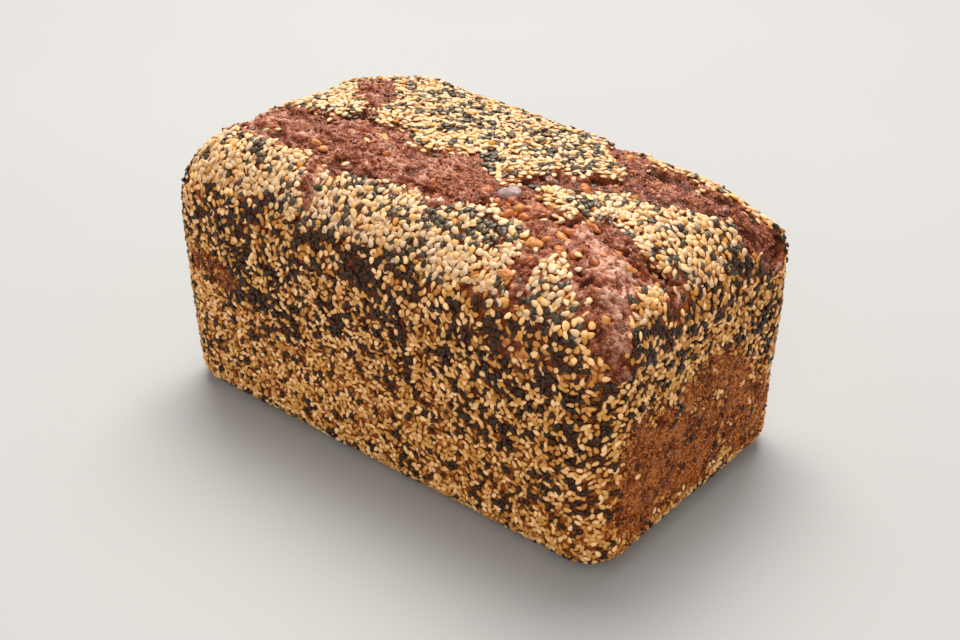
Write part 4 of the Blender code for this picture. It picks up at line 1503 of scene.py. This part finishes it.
class LOAF_OT_flakes(bpy.types.Operator):
    """Adds the bran flakes and the loose crumbs in the tears"""

    bl_idname = "rye_loaf.flakes"
    bl_label = "Flakes and Crumbs"

    def execute(self, context):
        scene = context.scene
        grain, crust = scene.rye_loaf_grain, scene.rye_loaf_crust
        loaf = Loaf(scene.rye_loaf_shape)
        random = np.random.default_rng(29)
        for name, setting, counts, size, spread in FLAKE_KINDS:
            pattern, wanted = seed_pattern(*counts), getattr(grain, setting)
            grid_x, grid_y = loaf.anywhere(random, wanted * FLAKE_TRIES)
            torn, depth, _ = torn_field(grid_x, grid_y, loaf)
            chosen = np.flatnonzero(torn > 0.7)[:wanted]
            grid_x, grid_y, depth = grid_x[chosen], grid_y[chosen], depth[chosen]
            base, normal, tangent = loaf.on_dome(grid_x, grid_y)
            relief, _ = torn_lumps(base, crust)
            total = len(base)
            height = -depth * MM + relief + random.uniform(-0.1, 0.15, total) * MM
            axes = tumbled(random, normal, tangent, spread, spread * 0.7)
            sizes = varied(np.array(size) * MM, random, total, 0.3, 0.5, 1.9)
            centres = base + normal * height[:, None]
            points, faces = placed_copies(pattern, centres, axes, sizes)
            points = lumped(points, centres, 1 + 0.35 * smooth_noise(points, 0.7 * MM, 131))
            if name == "crumbs":
                crest = np.repeat(random.normal(0.55, 0.16, total), len(pattern[0]))
                values = {"torn": np.ones(len(points)), "crest": crest}
                make_piece(name, points, faces, crust_finish(crust), values)
            else:
                warm = near_stroke(WARM_TEAR, grid_x / MM, grid_y / MM, TONE_EDGE)
                tone = np.clip(random.normal(0.33, 0.13, total) + 0.24 * warm, 0.2, 1)
                values = {"tone": np.repeat(tone, len(pattern[0]))}
                make_piece(name, points, faces, grain_finish(grain), values)
        return {"FINISHED"}


class LOAF_OT_baked_grains(bpy.types.Operator):
    """Adds the fine grains that stand out of the bare crust on the ends"""

    bl_idname = "rye_loaf.baked_grains"
    bl_label = "Baked Grains"

    def execute(self, context):
        scene = context.scene
        grain, crust, shape = scene.rye_loaf_grain, scene.rye_loaf_crust, scene.rye_loaf_shape
        loaf = Loaf(shape)
        random = np.random.default_rng(31)
        share = random.random(GRAIN_TRIES)
        height = random.uniform(0.01, 0.85, GRAIN_TRIES) * shape.rim
        base, normal, tangent = loaf.on_wall(share, height)
        chosen = np.flatnonzero(random.random(len(base)) < 0.9 * bare_share(base, normal) - 0.1)
        chosen = chosen[keep_apart(base[chosen], GRAIN_GAP, random)][:grain.grains]
        base, normal, tangent = base[chosen], normal[chosen], tangent[chosen]
        total = len(base)
        axes = tumbled(random, normal, tangent, 0.6, 0.5)
        sizes = varied(np.array(GRAIN_SIZE) * MM, random, total, 0.3, 0.5, 1.8)
        centres = base - normal * (random.uniform(0.22, 0.48, total) * MM)[:, None]
        pattern = seed_pattern(6, 2)
        points, faces = placed_copies(pattern, centres, axes, sizes)
        crest = random.uniform(0.10, 1.20, total) + 0.30 * blotches(base)
        values = {"torn": np.zeros(len(points)), "crest": np.repeat(crest, len(pattern[0]))}
        make_piece("baked_grains", points, faces, crust_finish(crust), values)
        return {"FINISHED"}


class LOAF_OT_stage(bpy.types.Operator):
    """Adds the pale floor, the soft lights and the camera"""

    bl_idname = "rye_loaf.stage"
    bl_label = "Stage"

    def execute(self, context):
        scene = context.scene
        stage = scene.rye_loaf_stage
        line = np.linspace(-stage.size / 2, stage.size / 2, FLOOR_POINTS)
        x, y = flat_grid(line, line)
        mesh = bpy.data.meshes.new("floor")
        points = np.stack([x, y, 0 * x - FLOOR_DROP], -1)
        mesh.from_pydata(points.tolist(), [], grid_faces(FLOOR_POINTS, FLOOR_POINTS).tolist())
        material, tree, shader, place = new_finish("pale floor")
        clouds = add_noise(tree, place, 3, 3)
        stops = [(0.3, brightened(stage.floor, 0.97)), (0.7, stage.floor)]
        tree.links.new(add_ramp(tree, clouds, stops), shader.inputs["Base Color"])
        shader.inputs["Roughness"].default_value = 0.7
        mesh.materials.append(material)
        floor = bpy.data.objects.new("floor", mesh)
        scene.collection.objects.link(floor)

        world = bpy.data.worlds.new("soft sky")
        world.use_nodes = True
        background = world.node_tree.nodes["Background"]
        background.inputs["Color"].default_value = (1.0, 0.99, 0.975, 1)
        background.inputs["Strength"].default_value = stage.sky
        scene.world = world
        for name, (place, size, color) in LIGHTS.items():
            light = bpy.data.lights.new(name, "AREA")
            light.shape = "SQUARE"
            light.size = size
            light.energy = getattr(stage, name)
            light.color = color
            lamp = bpy.data.objects.new(name, light)
            lamp.location = place
            aim = Vector(LIGHT_AIM) - Vector(place)
            lamp.rotation_euler = aim.to_track_quat("-Z", "Y").to_euler()
            scene.collection.objects.link(lamp)

        lens = bpy.data.cameras.new("camera")
        lens.lens = stage.focal
        lens.sensor_width = 36
        lens.clip_start = 0.01
        camera = bpy.data.objects.new("camera", lens)
        turn, rise = stage.azimuth, stage.elevation
        back = Vector((math.sin(turn) * math.cos(rise), -math.cos(turn) * math.cos(rise), math.sin(rise)))
        camera.location = Vector(CAMERA_AIM) + back * stage.distance
        camera.rotation_euler = back.to_track_quat("Z", "Y").to_matrix().to_euler()
        camera.rotation_euler.rotate_axis("Z", stage.roll)
        scene.collection.objects.link(camera)
        scene.camera = camera
        scene.view_settings.view_transform = "Standard"
        return {"FINISHED"}


class LOAF_PT_panel(bpy.types.Panel):
    """Lists the operators in the sidebar"""

    bl_idname = "LOAF_PT_panel"
    bl_label = "Seeded Rye Loaf"
    bl_space_type = "VIEW_3D"
    bl_region_type = "UI"
    bl_category = "Rye Loaf"

    def draw(self, context):
        for operator in OPERATORS:
            self.layout.operator(operator.bl_idname)


OPERATORS = (
    LOAF_OT_stage,
    LOAF_OT_dome_crust,
    LOAF_OT_wall_crust,
    LOAF_OT_pressed_seeds,
    LOAF_OT_loose_seeds,
    LOAF_OT_kernels,
    LOAF_OT_flakes,
    LOAF_OT_baked_grains,
)
GROUPS = {
    "rye_loaf_shape": LoafShape,
    "rye_loaf_crust": CrustSettings,
    "rye_loaf_seeds": SeedSettings,
    "rye_loaf_grain": GrainSettings,
    "rye_loaf_stage": StageSettings,
}


def register():
    """Registers the classes and puts the settings on the scene."""
    for kind in (*GROUPS.values(), *OPERATORS, LOAF_PT_panel):
        bpy.utils.register_class(kind)
    for name, group in GROUPS.items():
        setattr(bpy.types.Scene, name, PointerProperty(type=group))


def unregister():
    """Takes the settings and the classes away again."""
    for name in GROUPS:
        delattr(bpy.types.Scene, name)
    for kind in reversed((*GROUPS.values(), *OPERATORS, LOAF_PT_panel)):
        bpy.utils.unregister_class(kind)


def main():
    """Builds the stage and the loaf."""
    register()
    bpy.ops.rye_loaf.stage()
    bpy.ops.rye_loaf.dome_crust()
    bpy.ops.rye_loaf.wall_crust()
    bpy.ops.rye_loaf.pressed_seeds()
    bpy.ops.rye_loaf.loose_seeds()
    bpy.ops.rye_loaf.kernels()
    bpy.ops.rye_loaf.flakes()
    bpy.ops.rye_loaf.baked_grains()


if __name__ == "__main__":
    main()
